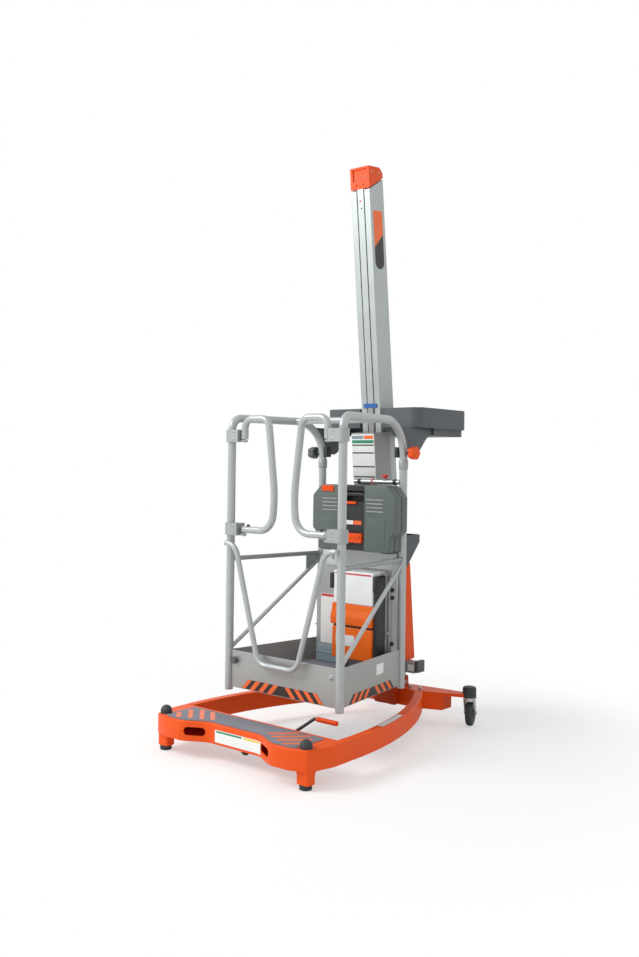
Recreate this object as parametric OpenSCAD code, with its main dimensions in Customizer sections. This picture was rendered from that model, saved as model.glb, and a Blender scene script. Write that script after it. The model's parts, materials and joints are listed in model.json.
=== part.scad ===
// Vertical mast lift: a one-person platform that rides up a leaning telescopic mast
// on a low rolling base. X to the right, Y to the rear (mast side), Z up, millimetres.
// The origin lies on the floor under the middle of the machine.

/* [Base] */
// Distance from the origin forward to the line of the front feet
feet_ahead = 616; // [590:1:640]
// Half distance between the two front feet
feet_x = 380; // [360:1:390]
// Half width over the side rails at the front
base_half_w = 435; // [425:1:450]
// Height of the top of the base
base_top = 150; // [145:1:160]
// Height of the rails and of the front beam
rail_h = 80; // [70:1:90]
// Width of a side rail
rail_w = 40; // [34:1:48]
// Depth of the front beam behind the line of the feet
beam_rear = 165; // [155:1:175]
// How far the corners reach in front of the line of the feet
corner_ahead = 58; // [50:1:64]
// How far back the middle of the beam is set from the line of the feet
notch_back = 10; // [0:1:20]
// Half width of the straight middle of the beam's front
notch_half = 140; // [120:1:160]
// Width of the slanted stretch beside it
notch_ramp = 140; // [120:1:150]
// Wall thickness of the hollow front beam
beam_wall = 6; // [4:0.5:8]
// Length of a hand slot
slot_l = 80; // [60:1:90]
// Height of a hand slot
slot_h = 34; // [26:1:40]
// Length of the straight front stretch of a side rail
rail_straight = 200; // [190:1:240]
// Radius of the outer side of a curved rail
rail_r = 1587; // [1500:1:1700]
// Angle through which a side rail curves inwards
rail_turn = 32.6; // [31:0.1:34]
// Front edge of the rear beam behind the line of the feet
rear_beam_front = 1048; // [1040:1:1055]
// Rear edge of the rear beam behind the line of the feet
rear_beam_rear = 1143; // [1135:1:1155]
// Height of a rubber foot
foot_h = 20; // [15:1:30]
// Radius of a rubber foot and of a corner dome
foot_r = 24; // [18:1:28]
// Height of a corner dome
dome_h = 33; // [20:1:40]
// Thickness of the step pad
pad_t = 3; // [2:0.5:5]

/* [Rear casters] */
// Half distance between the caster stems
caster_x = 372; // [365:1:380]
// Distance of the stems behind the line of the feet
caster_back = 1155; // [1150:1:1162]
// Radius of the wheel
wheel_r = 60; // [50:1:60]
// Width of the tyre
wheel_w = 32; // [24:1:36]
// Trail of the wheel behind its stem
trail = 28; // [20:1:32]
// Thickness of the tongue that holds the stem
tongue_t = 14; // [8:1:16]
// Radius of the stem
stem_r = 9; // [7:0.5:12]
// Radius of the axle
axle_r = 5; // [4:0.5:7]
// Angle at which the right caster stands
right_caster_turn = 20; // [0:1:45]
// Angle at which the left caster stands
left_caster_turn = -12; // [-45:1:0]

/* [Front jack] */
// Distance of the jack behind the line of the feet
jack_back = 68; // [60:1:75]
// Radius of the small wheel
jack_wheel_r = 20; // [16:1:22]
// Width of the small wheel
jack_wheel_w = 18; // [14:1:22]
// Height of the small wheel above the floor when raised
jack_lift = 32; // [26:1:34]
// Radius of the jack's stem
jack_stem_r = 10; // [8:0.5:12]
// Radius of the lever's rod
lever_r = 6.5; // [5:0.5:8]
// Length of the orange grip
grip_l = 102; // [80:1:120]
// Radius of the grip
grip_r = 10; // [8:0.5:12]
// Height of the lever's pivot
pivot_z = 108; // [100:1:112]

/* [Mast] */
// Forward lean of the mast
lean = 6; // [4:0.1:7]
// Where the front of the mast would meet the floor, behind the line of the feet
mast_back = 1026; // [1020:1:1032]
// Width of the outer mast section
mast_w = 105; // [100:1:110]
// Depth of the outer mast section
mast_d = 105; // [100:1:110]
// Length along the mast from the floor to the front edge of the cap
mast_top = 2438; // [2300:1:2500]
// Wall thickness of the mast sections
mast_wall = 4; // [3:0.5:5]
// Clearance between the mast sections
mast_gap = 5; // [5:0.5:6]
// Width of the strip that shows in the front slot
nose_w = 33; // [28:1:36]
// Height of the cap's front
cap_h = 97; // [80:1:110]
// How much higher the cap's lower edge is at the back
cap_rise = 52; // [30:1:60]
// Height of the socket on the rear beam
socket_top = 185; // [160:1:200]
// Lower end of the rear cover
cover_bottom = 245; // [230:1:270]
// Upper end of the rear cover
cover_top = 712; // [650:1:760]
// Depth of the rear cover
cover_d = 88; // [70:1:95]

/* [Platform] */
// Half distance between the front posts
post_x = 305; // [295:1:315]
// Distance of the front posts behind the line of the feet
post_back = 287.5; // [280:0.5:295]
// Half distance between the rear posts
rear_post_x = 229; // [222:1:235]
// Distance of the rear posts behind the line of the feet
rear_post_back = 812; // [805:1:818]
// Radius of the posts and top rails
post_r = 17.5; // [15:0.5:19]
// Height of the lower end of the posts
post_bottom = 212; // [205:1:220]
// Height of the axis of the top rail
rail_z = 1380; // [1340:1:1420]
// Radius of the front bend of a top rail
front_bend = 48; // [45:1:70]
// Radius of the rear bend of a top rail
rear_bend = 165; // [120:1:180]
// Top of the deck
deck_z = 290; // [280:1:300]
// Thickness of the deck
deck_t = 8; // [5:1:12]
// Lower edge of the toe boards
toe_bottom = 226; // [220:1:232]
// Upper edge of the toe boards
toe_top = 384; // [370:1:400]
// Thickness of the toe boards
toe_t = 4; // [3:0.5:6]
// Height of the mid rails
mid_z = 775; // [760:1:785]
// Radius of the mid rails
mid_r = 10; // [8:0.5:12]
// Radius of the braces
brace_r = 9; // [7:0.5:11]
// Radius of the tube of the V-shaped entry bar
vee_r = 11.5; // [9:0.5:13]
// Height of the lowest stretch of the entry bar
vee_z = 350; // [340:1:365]

/* [Gates] */
// Half distance between the hinge axes of the gates
gate_x = 228; // [222:1:234]
// Radius of the gate tubes
gate_r = 15; // [12:0.5:16]
// Height of the lower run of a gate
gate_low = 904; // [895:1:910]
// Height of the upper run of a gate
gate_high = 1375; // [1365:1:1385]
// Height of a clamp
clamp_h = 52; // [44:1:60]
// Middle of the upper clamps
clamp_high = 1303; // [1295:1:1305]

/* [Tray and case] */
// Half width of the work tray
tray_half_w = 265; // [250:1:280]
// Front edge of the tray behind the line of the feet
tray_front = 872; // [866:1:880]
// Rear edge of the tray behind the line of the feet
tray_rear = 1290; // [1250:1:1310]
// Top of the tray's rim
tray_z = 1445; // [1440:1:1460]
// Depth of the tray's rim
tray_rim = 90; // [80:1:95]
// Wall thickness of the tray
tray_wall = 5; // [4:0.5:8]
// Width of the tool case
case_w = 462; // [430:1:470]
// Depth of the tool case
case_d = 92; // [80:1:94]
// Height of the tool case
case_h = 290; // [260:1:300]
// Height of the underside of the tool case
case_z = 806; // [802:1:812]
// Sideways offset of the tool case
case_shift = 36; // [20:1:40]

/* [Hidden] */
$fn = 64;

orange = "#F0602A";
dark_orange = "#C94A1C";
silver = "#B4BAB9";
steel = "#9B9E9D";
graphite = "#4B4F50";
rubber = "#2E3436";
case_grey = "#5C6663";
pad_grey = "#6E6F78";
white = "#E8EAE8";
red = "#C8262A";

feet_y = -feet_ahead;
eps = 0.01;
seat = 0.3;          // gap between faces of bodies that turn against each other
run = 0.05;          // radial clearance of a pin in its bore
bead_h = 0.3;        // height and length of a weld bead
bead_l = 2;
beam_bottom = base_top - rail_h;
beam_y0 = feet_y + notch_back;
beam_y1 = feet_y + beam_rear;
post_y = feet_y + post_back;
rear_post_y = feet_y + rear_post_back;
caster_y = feet_y + caster_back;
jack_y = feet_y + jack_back;
pivot_y = beam_y1 + 20;
mast_y = feet_y + mast_back;
rear_front_y = feet_y + rear_beam_front;
rear_rear_y = feet_y + rear_beam_rear;
side_len = norm([post_x - rear_post_x, rear_post_y - post_y]);
side_turn = atan2(rear_post_y - post_y, rear_post_x - post_x);

// Mirrors its child about the middle plane, keeping the original
module both() {
    children();
    mirror([1, 0, 0]) children();
}

// Frame of the mast: origin at its front face on the floor, Z along the mast, Y through its depth
module on_mast() {
    translate([0, mast_y, 0]) rotate([lean, 0, 0]) children();
}

// Frame of the right side of the platform: X runs from the front post to the rear post
module on_side() {
    translate([post_x, post_y, 0]) rotate([0, 0, side_turn]) children();
}

// Round bar from point a to point b
module bar(a, b, r) {
    d = b - a;
    translate(a) rotate([0, acos(d[2] / norm(d)), atan2(d[1], d[0])]) cylinder(r = r, h = norm(d));
}

// Bent tube in the XY plane, heading +X; each row is [length, 0] or [bend radius, angle to the left],
// and a thin weld bead joins one stretch to the next
module tube_run(rows, r, i = 0) {
    if (i < len(rows)) {
        size = rows[i][0];
        turn = rows[i][1];
        if (i > 0) translate([-bead_l / 2, 0, 0]) rotate([0, 90, 0]) cylinder(r = r + bead_h, h = bead_l);
        if (turn == 0) {
            rotate([0, 90, 0]) cylinder(r = r, h = size);
            translate([size, 0, 0]) tube_run(rows, r, i + 1);
        } else {
            way = sign(turn);
            bend = abs(turn);
            translate([0, way * size, 0]) rotate([0, 0, way > 0 ? -90 : 90 - bend])
                rotate_extrude(angle = bend, $fn = size > 200 ? 1440 : 64) translate([size, 0])
                    circle(r = r, $fn = 48);
            translate([size * sin(bend), way * size * (1 - cos(bend)), 0])
                rotate([0, 0, turn]) tube_run(rows, r, i + 1);
        }
    }
}

// Box between two corners
module box(a, b) {
    translate(a) cube(b - a);
}

// Plan of the front beam, drawn in by a wall
module beam_plan(wall = 0) {
    y_mid = beam_y0 + wall;
    y_corner = feet_y - corner_ahead + wall;
    x_out = base_half_w - wall;
    rim = 22;
    both() union() {
        polygon([[0, y_mid], [notch_half, y_mid], [notch_half + notch_ramp, y_corner],
                 [x_out - rim, y_corner], [x_out, y_corner + rim], [x_out, beam_y1 - wall],
                 [0, beam_y1 - wall]]);
        translate([x_out - rim, y_corner + rim]) circle(r = rim);
    }
}

module front_beam() color(orange) {
    ramp_turn = atan2(-corner_ahead - notch_back, notch_ramp);
    leg = [64, 56];
    difference() {
        union() {
            translate([0, 0, beam_bottom]) linear_extrude(rail_h) beam_plan();
            both() box([feet_x - leg[0] / 2, feet_y - leg[1] / 2, foot_h],
                       [feet_x + leg[0] / 2, feet_y + leg[1] / 2, beam_bottom + eps]);
        }
        difference() {
            translate([0, 0, beam_bottom - 1]) linear_extrude(rail_h + 1 - beam_wall) beam_plan(beam_wall);
            both() box([feet_x - leg[0] / 2, feet_y - leg[1] / 2, 0],
                       [feet_x + leg[0] / 2, feet_y + leg[1] / 2, base_top]);
        }
        both() translate([notch_half + notch_ramp / 2, feet_y - (corner_ahead - notch_back) / 2,
                          base_top - rail_h / 2]) rotate([0, 0, ramp_turn]) {
            half = (slot_l - slot_h) / 2;
            for (x = [-half, half]) translate([x, 0, 0]) rotate([90, 0, 0])
                cylinder(d = slot_h, h = 60, center = true);
            cube([2 * half, 60, slot_h], center = true);
        }
    }
}

module side_rails() color(orange) both() {
    x0 = base_half_w - rail_w;
    y0 = beam_y1;
    y1 = feet_y + rail_straight;
    box([x0, y0, beam_bottom], [base_half_w, y1, base_top]);
    translate([base_half_w - rail_r, y1, beam_bottom]) rotate_extrude(angle = rail_turn, $fn = 256)
        translate([rail_r - rail_w, 0]) square([rail_w, rail_h]);
}

module rear_beam() color(orange) {
    // where the outer and the inner side of a rail end
    centre = [base_half_w - rail_r, feet_y + rail_straight];
    outer = centre + rail_r * [cos(rail_turn), sin(rail_turn)];
    inner = centre + (rail_r - rail_w) * [cos(rail_turn), sin(rail_turn)];
    arm_x = 268;
    front_at = function (x) outer[1] + (caster_y - 26 - outer[1]) * (x - outer[0]) / (caster_x - outer[0]);
    rear_at = function (x) rear_rear_y + (caster_y + 26 - rear_rear_y) * max(0, x - 50) / (caster_x - 50);
    half = [[inner[0] - 40, rear_front_y], inner, outer,
            [arm_x, front_at(arm_x)], [arm_x, rear_at(arm_x)], [50, rear_rear_y]];
    root_x = arm_x - 30;
    difference() {
        union() {
            translate([0, 0, beam_bottom]) linear_extrude(rail_h)
                polygon(concat(half, [for (i = [len(half) - 1 : -1 : 0]) [-half[i][0], half[i][1]]]));
            // the stems' tongues are set a little inside the beam's own edges
            both() translate([0, 0, base_top - tongue_t]) linear_extrude(tongue_t) union() {
                polygon([[root_x, front_at(root_x) + 3], [caster_x, caster_y - 24],
                         [caster_x, caster_y + 24], [root_x, rear_at(root_x) - 3]]);
                translate([caster_x, caster_y]) circle(r = 26);
            }
        }
        both() translate([caster_x, caster_y, base_top - tongue_t - 1])
            cylinder(r = stem_r + run, h = tongue_t + 2);
        // seat of the mast's foot
        on_mast() box([-mast_w / 2, 0, 0], [mast_w / 2, mast_d, 300]);
    }
}

module mast_socket() color(dark_orange) difference() {
    wall = 8;
    on_mast() box([-mast_w / 2 - wall, -wall, base_top - 30], [mast_w / 2 + wall, mast_d + wall, socket_top]);
    on_mast() box([-mast_w / 2, 0, 0], [mast_w / 2, mast_d, socket_top + 1]);
    // stands on the top face of the beam, and in front of it hangs beside its face
    box([-200, rear_front_y, 0], [200, rear_rear_y + 60, base_top]);
}

module step_pad() color(pad_grey) translate([0, 0, base_top]) linear_extrude(pad_t) difference() {
    edge = 14;
    beam_plan(edge);
    both() translate([feet_x, feet_y]) circle(r = foot_r + 8);
    both() translate([base_half_w - rail_w - 5, feet_y - 100]) square([100, 400]);
}

module front_feet() color(rubber) both() translate([feet_x, feet_y, 0])
    rotate_extrude() polygon([[0, 0], [foot_r - 3, 0], [foot_r, 3], [foot_r, foot_h], [0, foot_h]]);

module corner_domes() color(rubber) both() translate([feet_x, feet_y, base_top]) {
    arc_n = 10;
    rotate_extrude() polygon(concat([[0, 0]],
        [for (i = [0 : arc_n]) [foot_r * cos(90 * i / arc_n),
                               8 + (dome_h - 8) * sin(90 * i / arc_n) - (i == 0 ? 8 : 0)]]));
}

module jack_guide() color(steel) {
    top = base_top - beam_wall;
    lug_x = [20, 112];
    difference() {
        box([-24, jack_y - 24, 96], [24, jack_y + 24, top]);
        translate([0, jack_y, 90]) cylinder(r = jack_stem_r + run, h = 80);
    }
    for (x = lug_x) difference() {
        box([x, beam_y1, pivot_z - 16], [x + 8, pivot_y + 14, pivot_z + 16]);
        translate([x - 1, pivot_y, pivot_z]) rotate([0, 90, 0]) cylinder(r = lever_r + 1 + run, h = 10);
    }
}

// Dimensions of the two moving mast sections
middle_w = mast_w - 2 * (mast_wall + mast_gap);
middle_y = mast_wall + mast_gap;
middle_d = mast_d - 2 * (mast_wall + mast_gap);
inner_w = middle_w - 2 * (mast_wall + mast_gap);
inner_y = middle_y + mast_wall + mast_gap;
inner_d = middle_d - 2 * (mast_wall + mast_gap);
slot_w = nose_w + 2 * mast_gap;
stage_bottom = socket_top + 20;

// Slanted underside of the cap, seen from the side: height at a depth into the mast
function cap_edge(y) = mast_top + cap_rise * y / mast_d;

// Cuts its child off below the cap
module under_cap(gap) intersection() {
    children();
    rotate([90, 0, 90]) translate([0, 0, -100]) linear_extrude(200)
        polygon([[-50, 0], [mast_d + 50, 0], [mast_d + 50, cap_edge(mast_d + 50) - gap],
                 [-50, cap_edge(-50) - gap]]);
}

// Box section with a slot down its front
module slotted_section(w, y0, d, bottom) difference() {
    box([-w / 2, y0, bottom], [w / 2, y0 + d, mast_top + 200]);
    box([-w / 2 + mast_wall, y0 + mast_wall, bottom - 1], [w / 2 - mast_wall, y0 + d - mast_wall, mast_top + 201]);
    box([-slot_w / 2, y0 - 1, bottom - 1], [slot_w / 2, y0 + mast_wall + 1, mast_top + 201]);
}

module mast_outer() color(silver) difference() {
    on_mast() under_cap(mast_gap) slotted_section(mast_w, 0, mast_d, 0);
    translate([-200, -2000, -100]) cube([400, 4000, 100 + beam_bottom]);
}

module mast_middle() color(silver) on_mast() under_cap(mast_gap)
    slotted_section(middle_w, middle_y, middle_d, stage_bottom);

module mast_inner() color(white) on_mast() under_cap(0) difference() {
    union() {
        box([-inner_w / 2, inner_y, stage_bottom], [inner_w / 2, inner_y + inner_d, mast_top + 200]);
        box([-nose_w / 2, 0, stage_bottom], [nose_w / 2, inner_y + mast_wall, mast_top + 200]);
    }
    box([-inner_w / 2 + mast_wall, inner_y + mast_wall, stage_bottom - 1],
        [inner_w / 2 - mast_wall, inner_y + inner_d - mast_wall, mast_top + 201]);
}

module mast_cap() color(orange) on_mast() rotate([90, 0, 90]) translate([0, 0, -mast_w / 2]) difference() {
    linear_extrude(mast_w) polygon([[0, cap_edge(0)], [0, mast_top + cap_h],
        [mast_d - 22, mast_top + cap_h], [mast_d, mast_top + cap_h - 22], [mast_d, cap_edge(mast_d)]]);
    // recess in the front and two small holes under it
    translate([-1, mast_top + 34, 14]) cube([7, cap_h - 44, mast_w - 28]);
    for (x = [34, mast_w - 34]) translate([-1, mast_top + 18, x]) rotate([0, 90, 0]) cylinder(r = 4, h = 9);
}

module mast_rear_cover() color(orange) on_mast()
    box([-mast_w / 2 + 4, mast_d, cover_bottom], [mast_w / 2 - 4, mast_d + cover_d, cover_top]);

tie_half = 108;
tie_y0 = mast_y - 212 * sin(lean) + mast_d + 2;
tie = [58, 50];       // depth and height of the bar behind the mast's foot
tie_z = 198;

module tie_bar() color(silver) difference() {
    box([-tie_half + 34, tie_y0 - 12, tie_z], [tie_half - 34, tie_y0 + tie[0], tie_z + tie[1]]);
    on_mast() box([-mast_w / 2, -10, 0], [mast_w / 2, mast_d, 400]);
}

module tie_bar_ends() color(graphite) both()
    box([tie_half - 34, tie_y0, tie_z - 1], [tie_half, tie_y0 + tie[0] + 1, tie_z + tie[1] + 1]);

// Rear casters, drawn with the stem on the Z axis and the axle along X
crown_z = base_top - tongue_t - seat;
module caster_fork() color(steel) {
    cheek = wheel_w / 2 + 5;
    crown_t = 9;
    translate([0, 0, crown_z - crown_t]) cylinder(r = 26, h = crown_t);
    for (s = [-1, 1]) translate([s > 0 ? cheek : -cheek - 4, 0, 0]) rotate([90, 0, 90])
        linear_extrude(4) union() {
            polygon([[-20, crown_z - crown_t], [22, crown_z - crown_t], [22, crown_z], [-20, crown_z]]);
            polygon([[-20, crown_z - crown_t], [22, crown_z - crown_t],
                     [trail + 12, wheel_r], [trail - 10, wheel_r - 6]]);
            translate([trail, wheel_r]) circle(r = 12);
        }
    box([-cheek - 4, -20, crown_z - crown_t], [cheek + 4, 22, crown_z - 1]);
    translate([0, 0, crown_z]) cylinder(r = stem_r, h = tongue_t + 2 * seat);
    translate([-cheek - 7, trail, wheel_r]) rotate([0, 90, 0]) cylinder(r = axle_r, h = 2 * cheek + 14);
    translate([0, 0, base_top + seat]) rotate_extrude()
        polygon(concat([[0, 0], [24, 0]], [for (a = [0 : 15 : 90]) [24 * cos(a), 8 + 19 * sin(a)]]));
    // brake tab over the rear of the wheel
    translate([-13, 18, crown_z - 7]) rotate([-14, 0, 0]) cube([26, 62, 5]);
}

module caster_hub() color(steel) translate([0, trail, wheel_r]) rotate([0, 90, 0]) rotate_extrude()
    polygon([[axle_r + run, -wheel_w / 2], [16, -wheel_w / 2], [18, -6], [wheel_r - 22, -6],
             [wheel_r - 18, -12], [wheel_r - 18, 12], [wheel_r - 22, 6], [18, 6],
             [16, wheel_w / 2], [axle_r + run, wheel_w / 2]]);

module caster_tyre() color(rubber) translate([0, trail, wheel_r]) rotate([0, 90, 0]) rotate_extrude()
    polygon([[wheel_r - 18, -wheel_w / 2 + 3], [wheel_r - 8, -wheel_w / 2], [wheel_r - 2, -wheel_w / 2 + 5],
             [wheel_r, -wheel_w / 2 + 10], [wheel_r, wheel_w / 2 - 10], [wheel_r - 2, wheel_w / 2 - 5],
             [wheel_r - 8, wheel_w / 2], [wheel_r - 18, wheel_w / 2 - 3]]);

module at_right_caster() translate([caster_x, caster_y, 0]) rotate([0, 0, right_caster_turn]) children();
module at_left_caster() translate([-caster_x, caster_y, 0]) rotate([0, 0, left_caster_turn]) children();
module caster_fork_right() at_right_caster() caster_fork();
module caster_hub_right() at_right_caster() caster_hub();
module caster_tyre_right() at_right_caster() caster_tyre();
module caster_fork_left() at_left_caster() caster_fork();
module caster_hub_left() at_left_caster() caster_hub();
module caster_tyre_left() at_left_caster() caster_tyre();

lever_x = 128;
grip_from = [204, feet_y + 258, 178];
module jack_lever() color(rubber) {
    shaft = lever_r + 1;
    translate([6, pivot_y, pivot_z]) rotate([0, 90, 0]) cylinder(r = shaft, h = lever_x + 8 - 6);
    bar([lever_x, pivot_y, pivot_z], grip_from, lever_r);
    translate(grip_from) sphere(r = lever_r + 1.5);
    translate(grip_from) rotate([0, 90, 0]) cylinder(r = lever_r, h = 12);
}

module jack_grip() color(orange) translate(grip_from + [12, 0, 0]) rotate([0, 90, 0])
    cylinder(r = grip_r, h = grip_l);

jack_axle_z = jack_lift + jack_wheel_r;
jack_crown_z = jack_axle_z + jack_wheel_r + 6;
jack_trail = 12;
module jack_stem() color(steel) translate([0, jack_y, 0]) {
    translate([0, 0, jack_crown_z + 6 + seat]) cylinder(r = 17, h = 5);
    translate([0, 0, jack_crown_z + 6 + seat]) cylinder(r = jack_stem_r, h = 143 - jack_crown_z - 7);
}

module jack_fork() color(steel) translate([0, jack_y, 0]) {
    cheek = jack_wheel_w / 2 + 3;
    translate([0, 0, jack_crown_z]) cylinder(r = 17, h = 6);
    for (s = [-1, 1]) translate([s > 0 ? cheek : -cheek - 3, 0, 0]) rotate([90, 0, 90])
        linear_extrude(3) union() {
            polygon([[-10, jack_crown_z + 1], [12, jack_crown_z + 1], [jack_trail + 7, jack_axle_z],
                     [jack_trail - 7, jack_axle_z]]);
            translate([jack_trail, jack_axle_z]) circle(r = 7);
        }
    translate([-cheek - 4, jack_trail, jack_axle_z]) rotate([0, 90, 0])
        cylinder(r = 3, h = 2 * cheek + 8);
}

module jack_wheel() color(rubber) translate([0, jack_y + jack_trail, jack_axle_z]) rotate([0, 90, 0])
    rotate_extrude() polygon([[3 + run, -jack_wheel_w / 2], [jack_wheel_r - 3, -jack_wheel_w / 2],
        [jack_wheel_r, -jack_wheel_w / 2 + 4], [jack_wheel_r, jack_wheel_w / 2 - 4],
        [jack_wheel_r - 3, jack_wheel_w / 2], [3 + run, jack_wheel_w / 2]]);

// Carriage
head_reach = 72;                               // how far the head stands in front of the mast
head_bottom = 235;
head_top = 1345;
head_x = mast_w / 2 + 5.5;                     // inner face of the side plates
plate_t = 5;
module carriage_head() color(steel) on_mast() {
    difference() {
        box([-head_x - plate_t, -head_reach, head_bottom], [head_x + plate_t, 50, head_top]);
        box([-head_x, -head_reach + plate_t, head_bottom - 1], [head_x, 51, head_top + 1]);
    }
    box([-nose_w / 2 + 2, -head_reach + plate_t - eps, head_bottom + 60], [nose_w / 2 - 2, 0, head_top - 80]);
    box([-nose_w / 2 + 2, -5, head_top - 81], [nose_w / 2 - 2, 0, glide_z]);
}

// Pad at the head of the carriage that slides on the front of the outer section
glide_z = 1455;
module glide_pad() color("#2C62A8") on_mast() box([-36, -5.5, glide_z], [36, -seat, glide_z + 20]);

// Pads inside the head of a section that guide the next one: half width, depth and start of the gap
module guide_pads(w, y0, d) for (s = [-1, 1]) {
    x0 = w / 2 - mast_wall - mast_gap + seat;
    x1 = w / 2 - mast_wall;
    box([s < 0 ? -x1 : x0, y0 + 20, mast_top - 130], [s < 0 ? -x0 : x1, y0 + d - 20, mast_top - 70]);
}
module outer_pads() color(graphite) on_mast() guide_pads(mast_w, 0, mast_d);
module middle_pads() color(graphite) on_mast() guide_pads(middle_w, middle_y, middle_d);

module instruction_plate() color(white) on_mast()
    box([-64, -head_reach - 2, 1136], [64, -head_reach, head_top - 6]);

box_front = feet_y + 735;                      // front face of the lower box
box_rear = feet_y + 798;
box_half = 190;
box_top = 722;
module carriage_box() color(silver) difference() {
    box([-box_half, box_front, toe_bottom + 10], [box_half, box_rear, box_top]);
    box([-box_half + 4, box_front + 4, toe_bottom + 9], [box_half - 4, box_rear + 1, box_top - 6]);
}

// Side arms from the lower box back to the head
module carriage_arms() color(steel) both() difference() {
    x0 = head_x + plate_t;
    box([x0, box_front + 4, toe_bottom + 10], [x0 + 6, mast_y, box_top - 6]);
    on_mast() box([-200, -head_reach + 70, -10], [200, 400, 2000]);
}

pack = [20, 222, 336, 560];                    // left, right, bottom and top of the power pack
pack_d = 72;
module power_pack() color(orange) {
    y0 = box_front - pack_d;
    difference() {
        box([pack[0], y0, pack[2]], [pack[1] - 32, box_front, pack[3]]);
        box([pack[0] - 1, y0 - 1, 476], [pack[1], y0 + 4, 482]);
    }
    box([pack[0] + 8, y0 - 8, 482], [pack[1] - 40, y0, 536]);
}

module pack_latches() color(rubber) {
    y0 = box_front - pack_d;
    box([pack[1] - 32, y0 + 6, pack[2]], [pack[1] - 32 + 6, box_front, pack[3] - 8]);
    for (x = [-box_half + 40, box_half - 60]) box([x, box_front - 14, 590], [x + 18, box_front, 660]);
}

panel_z = [722, 800];
module cross_panel() color(steel)
    box([-rear_post_x + post_r + 2, rear_post_y - 14, panel_z[0]], [rear_post_x - post_r - 2, rear_post_y + 14, panel_z[1]]);

// Open bins beside the mast behind the cross panel
module side_wings() color(graphite) both() difference() {
    y0 = rear_post_y + 14;
    x0 = head_x + plate_t;
    rotate([90, 0, 90]) translate([0, 0, x0]) linear_extrude(200 - x0)
        polygon([[y0, 725], [y0 + 60, 725], [y0 + 165, 840], [y0 + 165, 875], [y0, 875]]);
    rotate([90, 0, 90]) translate([0, 0, x0 + 5]) linear_extrude(200 - x0 - 10)
        polygon([[y0 + 5, 730], [y0 + 58, 730], [y0 + 160, 842], [y0 + 160, 880], [y0 + 5, 880]]);
}

control = [rear_post_y - 12, 1112, 10];         // depth, height and radius of the control bar
module control_bar() color(steel) difference() {
    union() {
        translate([-30, control[0], control[1]]) rotate([0, 90, 0])
            cylinder(r = control[2], h = rear_post_x + 20);
        box([-16, control[0], control[1] - 6], [16, control[0] + 90, control[1] + 6]);
    }
    on_mast() box([-100, -head_reach, 900], [100, 200, 1300]);
    translate([rear_post_x, rear_post_y, 0]) cylinder(r = post_r + run, h = rail_z);
}

module stop_button() color(red) translate([140, control[0], control[1] + control[2] - 1]) {
    difference() {
        cylinder(r = 8, h = 14);
        translate([-20, 0, 1 - control[2]]) rotate([0, 90, 0]) cylinder(r = control[2], h = 40);
    }
    translate([0, 0, 14]) cylinder(r = 17, h = 10);
}

// Platform
module deck() color(pad_grey) translate([0, 0, deck_z - deck_t]) linear_extrude(deck_t)
    polygon([[-post_x + 24, post_y + toe_t], [post_x - 24, post_y + toe_t],
             [rear_post_x + 3 - 20, rear_post_y - 18], [box_half + 2, rear_post_y - 18], [box_half + 2, box_front - seat],
             [-box_half - 2, box_front - seat], [-box_half - 2, rear_post_y - 18], [-rear_post_x - 3 + 20, rear_post_y - 18]]);

module toe_board_front() color(silver)
    box([-post_x + post_r, post_y - toe_t / 2, toe_bottom], [post_x - post_r, post_y + toe_t / 2, toe_top]);

module toe_boards_side() color(silver) both() on_side()
    box([post_r, -toe_t / 2, toe_bottom], [side_len - post_r, toe_t / 2, toe_top]);

module side_hoop() on_side() rotate([90, 0, 0]) {
    rise = rail_z - post_bottom - front_bend;
    top = side_len - front_bend - rear_bend;
    fall = rail_z - post_bottom - rear_bend;
    translate([0, post_bottom, 0]) rotate([0, 0, 90])
        tube_run([[rise, 0], [front_bend, -90], [top, 0], [rear_bend, -90], [fall, 0]], post_r);
    // collar where the rear post meets the bend
    translate([side_len, rail_z - rear_bend - 45, 0]) rotate([-90, 0, 0]) cylinder(r = post_r + 2.5, h = 40);
}
module side_hoop_right() color(silver) side_hoop();
module side_hoop_left() color(silver) mirror([1, 0, 0]) side_hoop();

module mid_rails() color(steel) both() on_side() translate([post_r, 0, mid_z]) rotate([0, 90, 0])
    cylinder(r = mid_r, h = side_len - 2 * post_r);

module side_braces() color(silver) both() on_side() difference() {
    bar([0, 0, toe_top + 2], [side_len, 0, mid_z - mid_r - 8], brace_r);
    for (x = [0, side_len]) translate([x, 0, 0]) cylinder(r = post_r + run, h = 2 * mid_z);
}

module entry_bar() color(silver) difference() {
    slope = 74;
    bend = 60;
    flat = 60;
    ahead = 3;           // gap between the bar and the post behind it, which the boss bridges
    leg = (gate_low - 60 - vee_z - 2 * bend * (1 - cos(slope))) / sin(slope);
    side = post_x + 2 - flat - 2 * bend * sin(slope) - leg * cos(slope);
    both() translate([0, post_y - post_r - vee_r - ahead, vee_z]) {
        rotate([90, 0, 0]) tube_run([[flat, 0], [bend, slope], [leg, 0], [bend, -slope], [side, 0]], vee_r);
        translate([post_x - 9, 0, 2 * bend * (1 - cos(slope)) + leg * sin(slope)])
            rotate([-90, 0, 0]) cylinder(r = vee_r - 2, h = vee_r + ahead + 8);
    }
    both() translate([post_x, post_y, 0]) cylinder(r = post_r + run, h = rail_z);
}

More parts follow.
